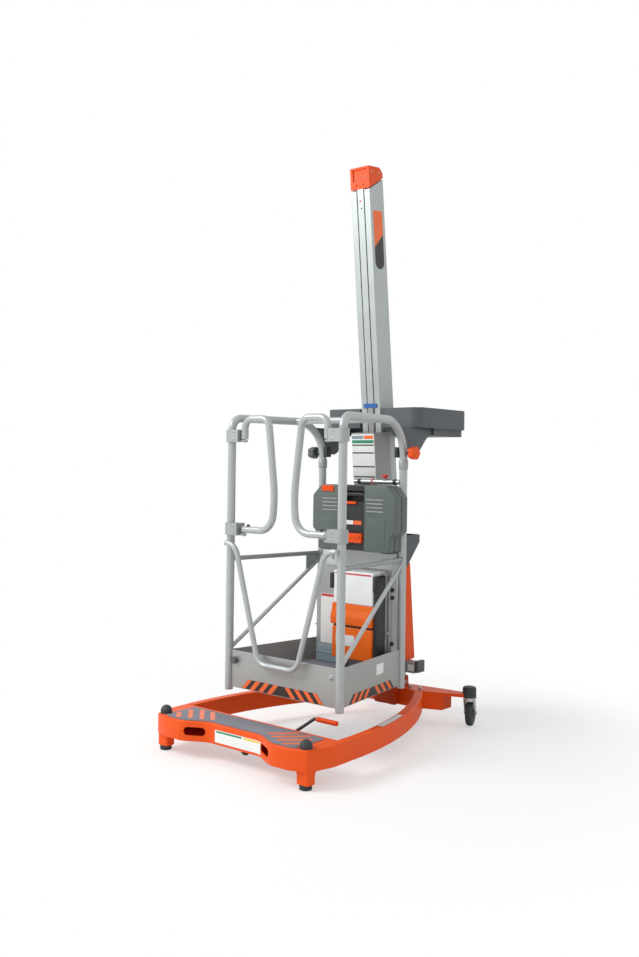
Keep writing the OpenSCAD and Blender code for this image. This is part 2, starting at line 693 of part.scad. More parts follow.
clamp_low = gate_low;
module gate_clamps() color(steel) both() {
    for (z = [clamp_low, clamp_high]) difference() {
        union() {
            box([gate_x + 20, post_y - post_r - 8, z - clamp_h / 2], [post_x + 4, post_y + post_r + 8, z + clamp_h / 2]);
            translate([post_x, post_y, z - clamp_h / 2]) cylinder(r = post_r + 8, h = clamp_h);
        }
        translate([post_x, post_y, z - clamp_h]) cylinder(r = post_r, h = 2 * clamp_h);
    }
    for (z = [clamp_low - clamp_h / 2, clamp_high - clamp_h / 2])
        translate([gate_x, post_y, z]) difference() {
            union() {
                cylinder(r = 12, h = 8);
                box([0, -10, 0], [21, 10, 8]);
            }
            translate([0, 0, -1]) cylinder(r = 5 + run, h = 12);
        }
}

// Swing gate: hinge axis at its outer legs, bulging towards the middle
gate_top_bend = 42;
gate_low_bend = 75;
gate_lean = 7;       // the inner leg leans in above the bow and out below it
gate_bow = 600;
gate_top_run = 56;
gate_start = clamp_high - clamp_h / 2 + 11;
module gate() {
    lean_s = sin(gate_lean);
    lean_c = cos(gate_lean);
    straight = (gate_high - gate_low - (1 - lean_s) * (gate_top_bend + gate_low_bend)
                - 2 * gate_bow * lean_s) / lean_c;
    low_run = gate_top_bend * (1 + lean_c) + gate_top_run + straight * lean_s - gate_low_bend * lean_c;
    translate([gate_x, post_y, gate_start]) rotate([90, 0, 0]) rotate([0, 0, 90])
        tube_run([[gate_high - gate_top_bend - gate_start, 0], [gate_top_bend, 90], [gate_top_run, 0],
                  [gate_top_bend, 90 - gate_lean], [straight, 0], [gate_bow, 2 * gate_lean],
                  [gate_low_bend, 90 - gate_lean], [low_run, 0]], gate_r);
}

// Pins of a gate in its two hinge plates
module gate_pins() {
    for (z = [clamp_low, clamp_high]) translate([gate_x, post_y, z - clamp_h / 2 - 3])
        cylinder(r = 5, h = z == clamp_high ? 18 : clamp_h / 2);
    translate([gate_x, post_y, gate_low - gate_r + 4]) cylinder(r = 9, h = 2 * gate_r - 8);
}
module gate_right() color(silver) { gate(); gate_pins(); }
module gate_left() color(silver) mirror([1, 0, 0]) { gate(); gate_pins(); }

module rear_cross_tube() color(silver) {
    y = rear_post_y - rear_bend - 8;
    half = post_x + (rear_post_x - post_x) * (y - post_y) / (rear_post_y - post_y) - post_r - 2;
    translate([-half, y, rail_z]) rotate([0, 90, 0]) cylinder(r = 14, h = 2 * half);
}

case_y = rear_post_y - post_r - case_d - seat;
module tool_case() color(case_grey) translate([case_shift, case_y, case_z]) {
    w = case_w / 2;
    cut = 48;
    difference() {
        rotate([90, 0, 0]) translate([0, 0, -case_d]) linear_extrude(case_d)
            polygon([[-w + 40, 0], [w - 40, 0], [w, 90], [w, case_h - cut], [w - cut, case_h],
                     [-w + cut, case_h], [-w, case_h - cut], [-w, 90]]);
        // recess of the handle and the middle
        box([-w + 165, -1, 30], [-w + 290, 16, case_h - 70]);
        box([-w + 165, -1, case_h - 70], [-w + 290, 40, case_h - 25]);
    }
    translate([-w + 160, 8, case_h - 48]) rotate([0, 90, 0]) cylinder(r = 11, h = 135);
}

module case_latches() color(orange) translate([case_shift, case_y, case_z]) {
    w = case_w / 2;
    box([-w + 170, -6, 36], [-w + 285, 16, 76]);
    box([-w + 52, -5, case_h - 30], [-w + 120, 0, case_h - 6]);
}

tray_y0 = feet_y + tray_front;
tray_y1 = feet_y + tray_rear;
tray_low = tray_z - tray_rim;
tray_floor = tray_low + 45;
pocket_x = mast_w / 2 + 6;
pocket_y = mast_y - tray_low * sin(lean) / cos(lean) + mast_d / cos(lean) + 8;
bin_low = 1323;

// Plan of the tray with rounded corners and an open slot for the mast
module tray_plan(inset) difference() {
    r = 48 - inset;
    union() {
        for (x = [-1, 1], y = [tray_y0 + 48, tray_y1 - 48]) translate([x * (tray_half_w - 48), y]) circle(r = r);
        translate([-tray_half_w + inset, tray_y0 + 48]) square([2 * (tray_half_w - inset), tray_y1 - tray_y0 - 96]);
        translate([-tray_half_w + 48, tray_y0 + inset]) square([2 * (tray_half_w - 48), tray_y1 - tray_y0 - 2 * inset]);
    }
    translate([-pocket_x - inset, tray_y0 - 1]) square([2 * (pocket_x + inset), pocket_y - tray_y0 + 1 + inset]);
}

module work_tray() color(graphite) {
    difference() {
        translate([0, 0, tray_low]) linear_extrude(tray_rim) tray_plan(0);
        translate([0, 0, tray_floor]) linear_extrude(tray_rim) tray_plan(tray_wall);
        translate([0, 0, tray_low - 1]) linear_extrude(tray_floor - tray_low - tray_wall + 1) tray_plan(tray_wall);
    }
    difference() {
        box([-tray_half_w + 22, pocket_y + 30, bin_low], [tray_half_w - 22, tray_y1 - 22, tray_floor - tray_wall]);
        box([-tray_half_w + 27, pocket_y + 35, bin_low + 5], [tray_half_w - 27, tray_y1 - 27, tray_floor]);
    }
}

// How far the rear post has bent forwards at a height
function bend_away(z) = rear_bend - sqrt(pow(rear_bend, 2) - pow(max(0, z - rail_z + rear_bend), 2));

// Swept brackets under the tray, from the rear posts back to the lower bin
module tray_brackets() color(graphite) both() {
    // the rear post already bends away here, so the bracket's front edge follows it
    y0 = rear_post_y + post_r / sin(side_turn) - bend_away(bin_low - 90) + seat;
    x0 = rear_post_x - 3;
    rotate([90, 0, 90]) translate([0, 0, x0]) linear_extrude(8) polygon(concat(
        [[y0, bin_low - 90], [y0 + 60, bin_low - 90]],
        [for (i = [1 : 8]) [y0 + 60 + 130 * i / 8, bin_low - 90 + 90 * pow(sin(90 * i / 8), 2)]],
        [[pocket_y + 30, bin_low], [pocket_y + 30, tray_low], [tray_y0 + 50, tray_low], [y0, tray_low - 60]]));
}

module tray_knobs() color(orange) both() {
    z = 1240;
    x0 = rear_post_x + bend_away(z) * cos(side_turn) + post_r / sin(side_turn) + 2 * seat;
    translate([x0, rear_post_y - bend_away(z), z]) rotate([0, 90, 0]) {
        cylinder(r = 7, h = 20);
        translate([0, 0, 19]) cylinder(r = 29, h = 34, $fn = 8);
    }
}

front_beam();
side_rails();
rear_beam();
mast_socket();
step_pad();
front_feet();
corner_domes();
jack_guide();
mast_outer();
mast_rear_cover();
tie_bar();
tie_bar_ends();
caster_fork_right();
caster_hub_right();
caster_tyre_right();
caster_fork_left();
caster_hub_left();
caster_tyre_left();
jack_lever();
jack_grip();
jack_stem();
jack_fork();
jack_wheel();
outer_pads();
mast_middle();
middle_pads();
mast_inner();
mast_cap();
glide_pad();
carriage_head();
instruction_plate();
carriage_arms();
carriage_box();
power_pack();
pack_latches();
cross_panel();
side_wings();
control_bar();
stop_button();
deck();
toe_board_front();
toe_boards_side();
side_hoop_right();
side_hoop_left();
mid_rails();
side_braces();
entry_bar();
gate_clamps();
rear_cross_tube();
tool_case();
case_latches();
work_tray();
tray_brackets();
tray_knobs();
gate_right();
gate_left();
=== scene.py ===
"""Dressing of a vertical mast lift: meshes, finishes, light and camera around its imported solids.

Lengths are in millimetres in the part's own frame (X right, Y to the rear, Z up) until a piece is
built, which turns them into metres. Every new mesh is a surface of two parameters worked out with
numpy: a profile carried along a path, an outline raised through a stack of insets, or a profile
turned about an axis. CAD nodes whose shape is right keep it and get rounded edges and a finish.
"""
from __future__ import annotations

import json
import logging
import math
from dataclasses import dataclass
from enum import Enum

import bmesh
import bpy
import numpy as np
from mathutils import Matrix, Vector

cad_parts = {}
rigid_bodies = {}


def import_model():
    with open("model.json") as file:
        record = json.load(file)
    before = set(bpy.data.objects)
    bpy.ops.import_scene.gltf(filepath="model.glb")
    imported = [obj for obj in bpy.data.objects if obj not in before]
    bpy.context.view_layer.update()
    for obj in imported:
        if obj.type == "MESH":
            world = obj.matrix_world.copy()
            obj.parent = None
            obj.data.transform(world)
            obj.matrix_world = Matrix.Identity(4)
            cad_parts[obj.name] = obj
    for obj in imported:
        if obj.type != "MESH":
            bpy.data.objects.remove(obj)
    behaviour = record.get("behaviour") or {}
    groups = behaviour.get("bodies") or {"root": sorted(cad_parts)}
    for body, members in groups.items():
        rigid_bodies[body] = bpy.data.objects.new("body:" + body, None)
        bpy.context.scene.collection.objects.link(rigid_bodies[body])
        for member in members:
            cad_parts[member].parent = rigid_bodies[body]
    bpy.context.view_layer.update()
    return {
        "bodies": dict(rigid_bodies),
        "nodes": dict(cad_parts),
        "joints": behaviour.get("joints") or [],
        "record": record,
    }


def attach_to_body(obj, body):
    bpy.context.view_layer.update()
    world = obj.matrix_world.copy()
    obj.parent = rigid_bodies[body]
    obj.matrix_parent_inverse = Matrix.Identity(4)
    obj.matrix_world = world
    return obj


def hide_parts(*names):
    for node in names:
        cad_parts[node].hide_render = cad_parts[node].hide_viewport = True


log = logging.getLogger("mast_lift")

Point = tuple[float, float, float]
Profile = list[tuple[float, float]]
Tree = bpy.types.NodeTree
Socket = bpy.types.NodeSocket

MM = 0.001
# Places and sizes that the sub-assemblies share, as in the part's source
FEET_Y = -616.0
POST_X, POST_Y = 305.0, FEET_Y + 287.5
REAR_POST_X, REAR_POST_Y = 229.0, FEET_Y + 812.0
SIDE_LEN = math.hypot(POST_X - REAR_POST_X, REAR_POST_Y - POST_Y)
POST_R = 17.5
POST_BOTTOM = 212.0
RAIL_Z = 1380.0
REAR_BEND = 165.0
HINGES_Z = (904.0, 1303.0)
MAST_Y = FEET_Y + 1026.0
MAST_SIZE = 105.0
LEAN = math.radians(6.0)
BASE_TOP = 150.0
BASE_HALF = 435.0
RAIL_CURVE_R = 1587.0
CASTER_X, CASTER_Y = 372.0, FEET_Y + 1155.0
LEVER_Y, LEVER_Z = FEET_Y + 185.0, 108.0
BOX_FRONT = FEET_Y + 735.0
# Stretches round a circle, and the angles from which an edge stays sharp and is bevelled
ROUND = 40
CREASE = math.radians(38.0)
BEVEL_FROM = math.radians(40.0)


# Surfaces


@dataclass(frozen=True)
class Axes:
    """A place on the machine: an origin and the directions of its own X and Z axes.

    Args:
        origin: where the axes stand, in millimetres.
        x: direction of the local X axis, of length one.
        z: direction of the local Z axis, of length one. The local Y axis is Z cross X.
    """

    origin: Point
    x: Point = (1.0, 0.0, 0.0)
    z: Point = (0.0, 0.0, 1.0)

    def world(self, points: np.ndarray) -> np.ndarray:
        """Returns local points in the part's frame: origin plus each coordinate times its axis."""
        rows = np.array([self.x, np.cross(self.z, self.x), self.z], float)
        return np.asarray(points, float) @ rows + np.array(self.origin, float)

    def at(self, x: float = 0.0, y: float = 0.0, z: float = 0.0) -> Axes:
        """Returns axes of the same directions that stand on a local point."""
        return Axes(tuple(self.world(np.array([x, y, z]))), self.x, self.z)


OFF_MAST = (0.0, math.cos(LEAN), math.sin(LEAN))
ON_MAST = Axes((0.0, MAST_Y, 0.0), z=(0.0, -math.sin(LEAN), math.cos(LEAN)))
MAST_FRONT = Axes(ON_MAST.origin, z=(0.0, -math.cos(LEAN), -math.sin(LEAN)))
MAST_SIDE = Axes(ON_MAST.origin, x=OFF_MAST, z=(1.0, 0.0, 0.0))
MAST_BACK = Axes(ON_MAST.origin, x=(-1.0, 0.0, 0.0), z=OFF_MAST)
SIDE_DIRECTION = ((REAR_POST_X - POST_X) / SIDE_LEN, (REAR_POST_Y - POST_Y) / SIDE_LEN, 0.0)
ON_SIDE = Axes((POST_X, POST_Y, 0.0), x=SIDE_DIRECTION)
SIDE_FACE = Axes(ON_SIDE.origin, x=SIDE_DIRECTION, z=tuple(np.cross(SIDE_DIRECTION, (0.0, 0.0, 1.0))))


@dataclass
class Surface:
    """Points, the faces between them, and the coordinates that a grain follows.

    Args:
        points: (n, 3) array in millimetres.
        faces: groups of faces, each an (m, corners) array of point numbers.
        run: (n, 3) array, the place in the profile and the length along the path.
    """

    points: np.ndarray
    faces: list[np.ndarray]
    run: np.ndarray | None = None

    def grain(self) -> np.ndarray:
        """Returns the grain's coordinates, which are the points where no path gives any."""
        return self.points if self.run is None else self.run

    def __add__(self, other: Surface) -> Surface:
        """Returns both surfaces as one."""
        shifted = [group + len(self.points) for group in other.faces]
        return Surface(np.vstack([self.points, other.points]), self.faces + shifted,
                       np.vstack([self.grain(), other.grain()]))

    def to(self, axes: Axes) -> Surface:
        """Returns the surface carried from the local axes into the part's frame."""
        return Surface(axes.world(self.points), self.faces, self.run)

    def moved(self, x: float = 0.0, y: float = 0.0, z: float = 0.0) -> Surface:
        """Returns the surface shifted by that many millimetres."""
        return Surface(self.points + np.array([x, y, z]), self.faces, self.run)

    def mirrored(self) -> Surface:
        """Returns the mirror image about the middle plane, its faces turned back outwards."""
        flipped = [group[:, ::-1] for group in self.faces]
        return Surface(self.points * np.array([-1.0, 1.0, 1.0]), flipped, self.run)

    def pair(self) -> Surface:
        """Returns the surface and its mirror image."""
        return self + self.mirrored()

    def outward(self) -> Surface:
        """Returns the surface with its faces outwards: a negative enclosed volume turns them round."""
        volume = 0.0
        for group in self.faces:
            first = self.points[group[:, 0]]
            for k in range(1, group.shape[1] - 1):
                volume += np.einsum("ij,ij->", first,
                                    np.cross(self.points[group[:, k]], self.points[group[:, k + 1]]))
        if volume < 0:
            self.faces = [group[:, ::-1] for group in self.faces]
        return self


def joined(parts: list[Surface]) -> Surface:
    """Returns a list of surfaces as one."""
    total = parts[0]
    for part in parts[1:]:
        total = total + part
    return total


def lofted(rows: np.ndarray, run: np.ndarray | None = None, ring: bool = False) -> Surface:
    """Stretches quads between closed outlines.

    Args:
        rows: (m, n, 3) array, m outlines of n points each.
        run: (m, n, 3) array of grain coordinates, or None.
        ring: the last outline joins the first; otherwise both ends are capped.

    Returns:
        The closed surface, facing outwards.
    """
    m, n = rows.shape[:2]
    here = np.arange(n)
    beside = (here + 1) % n
    start = np.arange(m if ring else m - 1)[:, None] * n
    above = (start + n) % (m * n)
    faces = [np.stack([start + here, start + beside, above + beside, above + here], -1).reshape(-1, 4)]
    if not ring:
        faces += [here[::-1][None], (m - 1) * n + here[None]]
    flat_run = None if run is None else run.reshape(-1, 3)
    return Surface(rows.reshape(-1, 3), faces, flat_run).outward()


def unit(way: np.ndarray) -> np.ndarray:
    """Returns a vector's direction, of length one."""
    return way / np.linalg.norm(way)


def ways(turn: np.ndarray) -> np.ndarray:
    """Returns (n, 2) points on the circle of radius one, at n angles."""
    return np.stack([np.cos(turn), np.sin(turn)], -1)


def circle(radius: float, count: int = ROUND) -> np.ndarray:
    """Returns (count, 2) points: radius times (cosine, sine) of equal angles."""
    return radius * ways(np.linspace(0, 2 * np.pi, count, endpoint=False))


def hexagon(across: float) -> np.ndarray:
    """Returns the six corners of a hexagon of that width across its flats."""
    return circle(across / math.sqrt(3), 6)


def rounded(corners: list[tuple[float, ...]] | np.ndarray, radius: float | list[float], closed: bool = True,
            steps: int = 6) -> np.ndarray:
    """Rounds the corners of a line: each becomes an arc tangent to both of its legs.

    The arc's centre lies on the bisector at radius / sin(half angle), and its points turn evenly
    from one tangent point to the other.

    Args:
        corners: the corner points, in two or three dimensions.
        radius: one radius, or one for each corner.
        closed: the line closes on itself; otherwise its two ends stay sharp.
        steps: number of stretches in each arc.

    Returns:
        (n, d) array of points.
    """
    nodes = np.asarray(corners, float)
    count = len(nodes)
    radii = [radius] * count if isinstance(radius, (int, float)) else radius
    pieces = []
    for k in range(count):
        if radii[k] <= 0 or (not closed and k in (0, count - 1)):
            pieces.append(nodes[k][None])
            continue
        back = unit(nodes[k - 1] - nodes[k])
        ahead = unit(nodes[(k + 1) % count] - nodes[k])
        half = 0.5 * math.acos(float(np.clip(back @ ahead, -1, 1)))
        centre = nodes[k] + unit(back + ahead) * radii[k] / math.sin(half)
        reach = radii[k] / math.tan(half)
        start = nodes[k] + back * reach - centre
        finish = nodes[k] + ahead * reach - centre
        sweep = math.pi - 2 * half
        t = np.linspace(0, 1, steps + 1)[:, None]
        pieces.append(centre + (np.sin((1 - t) * sweep) * start + np.sin(t * sweep) * finish)
                      / math.sin(sweep))
    return np.vstack(pieces)


def rectangle(width: float, height: float, radius: float, steps: int = 6) -> np.ndarray:
    """Returns the outline of a rectangle with rounded corners about the origin."""
    w, h = width / 2, height / 2
    return rounded([(-w, -h), (w, -h), (w, h), (-w, h)], radius, steps=steps)


def inset(outline: np.ndarray, distance: float | np.ndarray) -> np.ndarray:
    """Moves an outline inwards: each point goes along the mean normal of its two edges, over the
    distance divided by the cosine of half the turn between them.

    Args:
        outline: (n, 2) points.
        distance: one distance, or an (m,) array for m outlines.

    Returns:
        (n, 2) or (m, n, 2) points.
    """
    step = np.roll(outline, -1, 0) - outline
    area = np.sum(outline[:, 0] * np.roll(outline[:, 1], -1) - np.roll(outline[:, 0], -1) * outline[:, 1])
    normal = np.stack([-step[:, 1], step[:, 0]], -1) / np.linalg.norm(step, axis=1)[:, None]
    normal *= np.sign(area)
    before = np.roll(normal, 1, 0)
    miter = (normal + before) / (1 + np.sum(normal * before, 1))[:, None]
    return outline + np.multiply.outer(distance, miter)


def whole_outline(half: np.ndarray) -> np.ndarray:
    """Returns an outline from its right half, which starts and ends on the middle line."""
    return np.vstack([half, half[-2:0:-1] * np.array([-1.0, 1.0])])


def raised(plan: np.ndarray, heights: np.ndarray) -> np.ndarray:
    """Returns (m, n, 3) rows: m flat outlines, each lifted to a height of its own."""
    return np.concatenate([plan, np.broadcast_to(heights[:, None, None], plan.shape[:2] + (1,))], -1)


def slab(outline: np.ndarray, low: float, high: float, fillet: float = 1.0, steps: int = 3) -> Surface:
    """Raises an outline from low to high with rounded edges: near each end the inset and the
    height follow a quarter circle of the fillet's radius.

    Args:
        outline: (n, 2) points in the local XY plane.
        low, high: heights of the two faces.
        fillet: radius of the edges.
        steps: stretches in each rounded edge.

    Returns:
        The closed slab.
    """
    turn = np.linspace(0, np.pi / 2, steps + 1)
    inwards = fillet * (1 - np.sin(turn))
    rise = fillet * (1 - np.cos(turn))
    insets = np.concatenate([inwards, inwards[::-1]])
    heights = np.concatenate([low + rise, high - rise[::-1]])
    return lofted(raised(inset(outline, insets), heights))


def block(low: Point, high: Point, corner: float = 3.0,
          fillet: float = 1.5) -> Surface:
    """Returns a box between two corners with upright edges and faces rounded."""
    a, b = np.array(low, float), np.array(high, float)
    size, middle = b - a, (a + b) / 2
    corner = min(corner, 0.48 * size[0], 0.48 * size[1])
    fillet = min(fillet, 0.45 * corner, 0.45 * size[2])
    return slab(rectangle(size[0], size[1], corner) + middle[:2], a[2], b[2], fillet)


def turned(profile: Profile, count: int = ROUND, ring: bool = False) -> Surface:
    """Turns a profile of (radius, height) points about the local Z axis.

    Args:
        profile: the profile, its open ends at small radii being capped.
        count: number of stretches round the axis.
        ring: the profile is closed, as for a tyre.

    Returns:
        The closed surface.
    """
    radius, height = np.array(profile, float).T
    return lofted(raised(radius[:, None, None] * circle(1.0, count), height), ring=ring)


def symmetric(half: Profile) -> Profile:
    """Returns a profile from its lower half: each (radius, height) again at minus its height."""
    return half + [(radius, -height) for radius, height in reversed(half)]


def length_along(path: np.ndarray) -> np.ndarray:
    """Returns how far along a path each of its points lies."""
    return np.concatenate([[0], np.cumsum(np.linalg.norm(np.diff(path, axis=0), axis=1))])


def swept(outline: np.ndarray, path: np.ndarray, side: Point,
          fillet: float = 0.0, ring: bool = False) -> Surface:
    """Carries an outline along a path, at each point square to the path's direction.

    At a point with direction t the outline's second axis is the part of `side` that is square to
    t, and its first axis is that one cross t. The ends are drawn in over the fillet.

    Args:
        outline: (n, 2) points of the profile.
        path: (m, 3) points.
        side: a direction that the path never follows.
        fillet: radius of the rim at the two ends.
        ring: the path closes on itself.

    Returns:
        The closed surface, its grain running along the path.
    """
    path = np.asarray(path, float)
    if fillet > 0:
        path = np.vstack([path[0], path[0] + fillet * unit(path[1] - path[0]), path[1:-1],
                          path[-1] - fillet * unit(path[-1] - path[-2]), path[-1]])
    if ring:
        step = np.roll(path, -1, 0) - np.roll(path, 1, 0)
    else:
        ahead = np.vstack([path[1:], path[-1:] * 2 - path[-2:-1]]) - path
        ahead /= np.linalg.norm(ahead, axis=1)[:, None]
        behind = np.vstack([ahead[:1], ahead[:-1]])
        step = ahead + behind
    t = step / np.linalg.norm(step, axis=1)[:, None]
    b = np.array(side, float) - (t @ np.array(side, float))[:, None] * t
    b /= np.linalg.norm(b, axis=1)[:, None]
    a = np.cross(b, t)
    scale = np.ones(len(path))
    if fillet > 0:
        reach = np.abs(outline).max()
        scale[[0, -1]] = (reach - fillet) / reach
    plan = outline[None] * scale[:, None, None]
    rows = path[:, None] + plan[..., :1] * a[:, None] + plan[..., 1:] * b[:, None]
    return lofted(rows, raised(plan, length_along(path)), ring)


def bent_path(rows: Profile, start: tuple[float, float] = (0.0, 0.0),
              heading: float = 0.0, steps_per_turn: int = 96) -> np.ndarray:
    """Follows straight runs and bends in a plane, as the tubes of the part's source are written.

    A straight run adds its length along the heading. A bend of radius r turns the heading by its
    angle on a circle whose centre lies r to the side of the turn.

    Args:
        rows: (length, 0) for a straight run or (radius, degrees to the left) for a bend.
        start: first point.
        heading: first direction, in degrees.
        steps_per_turn: stretches in a full circle of bend.

    Returns:
        (m, 2) points.
    """
    here = np.array(start, float)
    angle = math.radians(heading)
    points = [here[None]]
    for size, turn in rows:
        if turn == 0:
            here = here + size * np.array([math.cos(angle), math.sin(angle)])
            points.append(here[None])
            continue
        way = math.copysign(1.0, turn)
        centre = here + way * size * np.array([-math.sin(angle), math.cos(angle)])
        count = max(3, int(abs(turn) / 360 * steps_per_turn * (3 if size > 300 else 1)))
        angles = angle + np.linspace(0, math.radians(turn), count + 1)[1:]
        arc = centre + way * size * np.stack([np.sin(angles), -np.cos(angles)], -1)
        points.append(arc)
        here, angle = arc[-1], angles[-1]
    return np.vstack(points)


def upright(path: np.ndarray, along: float = 0.0) -> np.ndarray:
    """Returns plane points (x, z) as local points (x, along, z)."""
    return np.stack([path[:, 0], np.full(len(path), along), path[:, 1]], -1)


def tube(path: np.ndarray, radius: float, side: Point, rim: float = 1.2) -> Surface:
    """Returns a round tube along a path, its ends slightly rounded."""
    return swept(circle(radius), path, side, rim)


def rod(a: Point, b: Point, radius: float,
        rim: float = 1.0, count: int = ROUND) -> Surface:
    """Returns a straight round bar from one point to another."""
    ends = np.array([a, b], float)
    side = (0.0, 0.0, 1.0) if abs(unit(ends[1] - ends[0])[2]) < 0.9 else (0.0, 1.0, 0.0)
    return swept(circle(radius, count), ends, side, min(rim, 0.4 * radius))


def weld(axes: Axes, radius: float, bead: float = 2.2, ripples: int = 26) -> Surface:
    """Draws the bead of a weld round a tube: a small circle turned about the local Z axis, whose
    radius swells and shrinks with the sine of the angle, once for each ripple.

    Args:
        axes: where the tube meets its neighbour, Z along the tube.
        radius: the tube's radius.
        bead: mean radius of the bead.
        ripples: number of ripples round the tube.

    Returns:
        The closed bead.
    """
    around = np.linspace(0, 2 * np.pi, ripples * 4, endpoint=False)[:, None]
    section = np.linspace(0, 2 * np.pi, 8, endpoint=False)[None]
    size = bead * (1 + 0.16 * np.sin(ripples * around))
    reach = radius + size * np.cos(section)
    rows = np.stack([reach * np.cos(around), reach * np.sin(around), size * np.sin(section)], -1)
    return lofted(rows, ring=True).to(axes)


def seam(path: np.ndarray, side: Point, bead: float = 2.0) -> Surface:
    """Draws a straight or bent weld along a path: the bead swells and shrinks with the sine of
    the length, once every 5 mm.

    Args:
        path: (m, 3) points.
        side: a direction that the path never follows.
        bead: mean radius.

    Returns:
        The closed bead.
    """
    path = np.asarray(path, float)
    length = length_along(path)
    count = max(8, int(length[-1] / 1.6))
    at = np.linspace(0, length[-1], count)
    fine = np.stack([np.interp(at, length, path[:, k]) for k in range(3)], -1)
    surface = swept(circle(1.0, 8), fine, side)
    size = bead * (1 + 0.16 * np.sin(2 * np.pi * at / 5.0))
    size[[0, -1]] *= 0.4
    rows = surface.points.reshape(count, 8, 3)
    surface.points = (fine[:, None] + (rows - fine[:, None]) * size[:, None, None]).reshape(-1, 3)
    return surface


def bolt(axes: Axes, across: float = 13.0, height: float = 6.0) -> Surface:
    """Returns a hexagon head with a washer under it, standing on the local XY plane."""
    washer = turned([(0.5, 0.0), (across * 0.78, 0.0), (across * 0.82, 0.4), (across * 0.82, 1.2),
                     (across * 0.78, 1.6), (0.5, 1.6)], 24)
    head = slab(hexagon(across), 1.5, 1.5 + height, 0.9, 2)
    return (washer + head).to(axes)


def screw(axes: Axes, radius: float = 5.0, height: float = 2.6) -> Surface:
    """Returns a domed screw head with a hexagon socket, standing on the local XY plane."""
    turn = np.linspace(0, 1.15, 6)
    dome = [(radius * math.cos(a), height * math.sin(a) / math.sin(1.15)) for a in turn]
    rings = [(0.5, 0.0), (radius, 0.0)] + dome[1:] + [(radius * 0.36, height * 0.98),
                                                     (radius * 0.34, height * 0.45), (0.4, height * 0.45)]
    return turned(rings, 24).to(axes)


def facing_front(x: float, y: float, z: float) -> Axes:
    """Returns axes on a face that looks to the front: local X right, Y up, Z to the front."""
    return Axes((x, y, z), z=(0.0, -1.0, 0.0))


def facing_right(x: float, y: float, z: float) -> Axes:
    """Returns axes on a face that looks to the right: local X to the rear, Y up."""
    return Axes((x, y, z), x=(0.0, 1.0, 0.0), z=(1.0, 0.0, 0.0))


# Finishes


def linear(hex_colour: str) -> tuple[float, float, float, float]:
    """Turns an sRGB hex colour to linear RGBA."""
    parts = [int(hex_colour[k:k + 2], 16) / 255 for k in (1, 3, 5)]
    r, g, b = [c / 12.92 if c <= 0.04045 else ((c + 0.055) / 1.055) ** 2.4 for c in parts]
    return (r, g, b, 1.0)


def add_node(tree: Tree, kind: str, links: dict | None = None,
             **settings: object) -> bpy.types.Node:
    """Adds one node.

    Args:
        tree: the material's node tree.
        kind: the node's type.
        links: for each input, a socket to link from or a plain value.
        settings: the node's own settings.

    Returns:
        The node.
    """
    node = tree.nodes.new(kind)
    for key, value in settings.items():
        setattr(node, key, value)
    for key, value in (links or {}).items():
        if isinstance(value, Socket):
            tree.links.new(value, node.inputs[key])
        else:
            node.inputs[key].default_value = value
    return node


def noise(tree: Tree, place: Socket, grain_mm: float, detail: float,
          roughness: float) -> Socket:
    """Returns soft noise with patches of that many millimetres."""
    return add_node(tree, "ShaderNodeTexNoise", {"Vector": place, "Scale": 1 / (grain_mm * MM),
                                                 "Detail": detail, "Roughness": roughness}).outputs["Fac"]


def cells(tree: Tree, place: Socket, grain_mm: float) -> bpy.types.Node:
    """Returns a pattern of cells about that many millimetres wide."""
    return add_node(tree, "ShaderNodeTexVoronoi", {"Vector": place, "Scale": 1 / (grain_mm * MM)})


def ranged(tree: Tree, value: Socket, source: tuple[float, float],
           target: tuple[float, float], **settings: object) -> Socket:
    """Returns a value carried from one range, (low, high), to another.

    Args:
        tree: the material's node tree.
        value: the socket read.
        source: the range that it comes from.
        target: the range that it is carried to.
        settings: the node's own settings.

    Returns:
        The socket with the result.
    """
    node = add_node(tree, "ShaderNodeMapRange",
                    {"Value": value, "From Min": source[0], "From Max": source[1],
                     "To Min": target[0], "To Max": target[1]}, **settings)
    return node.outputs["Result"]


class Grain(Enum):
    """The coordinates that a finish reads."""

    OBJECT = "object"
    RUN = "run"


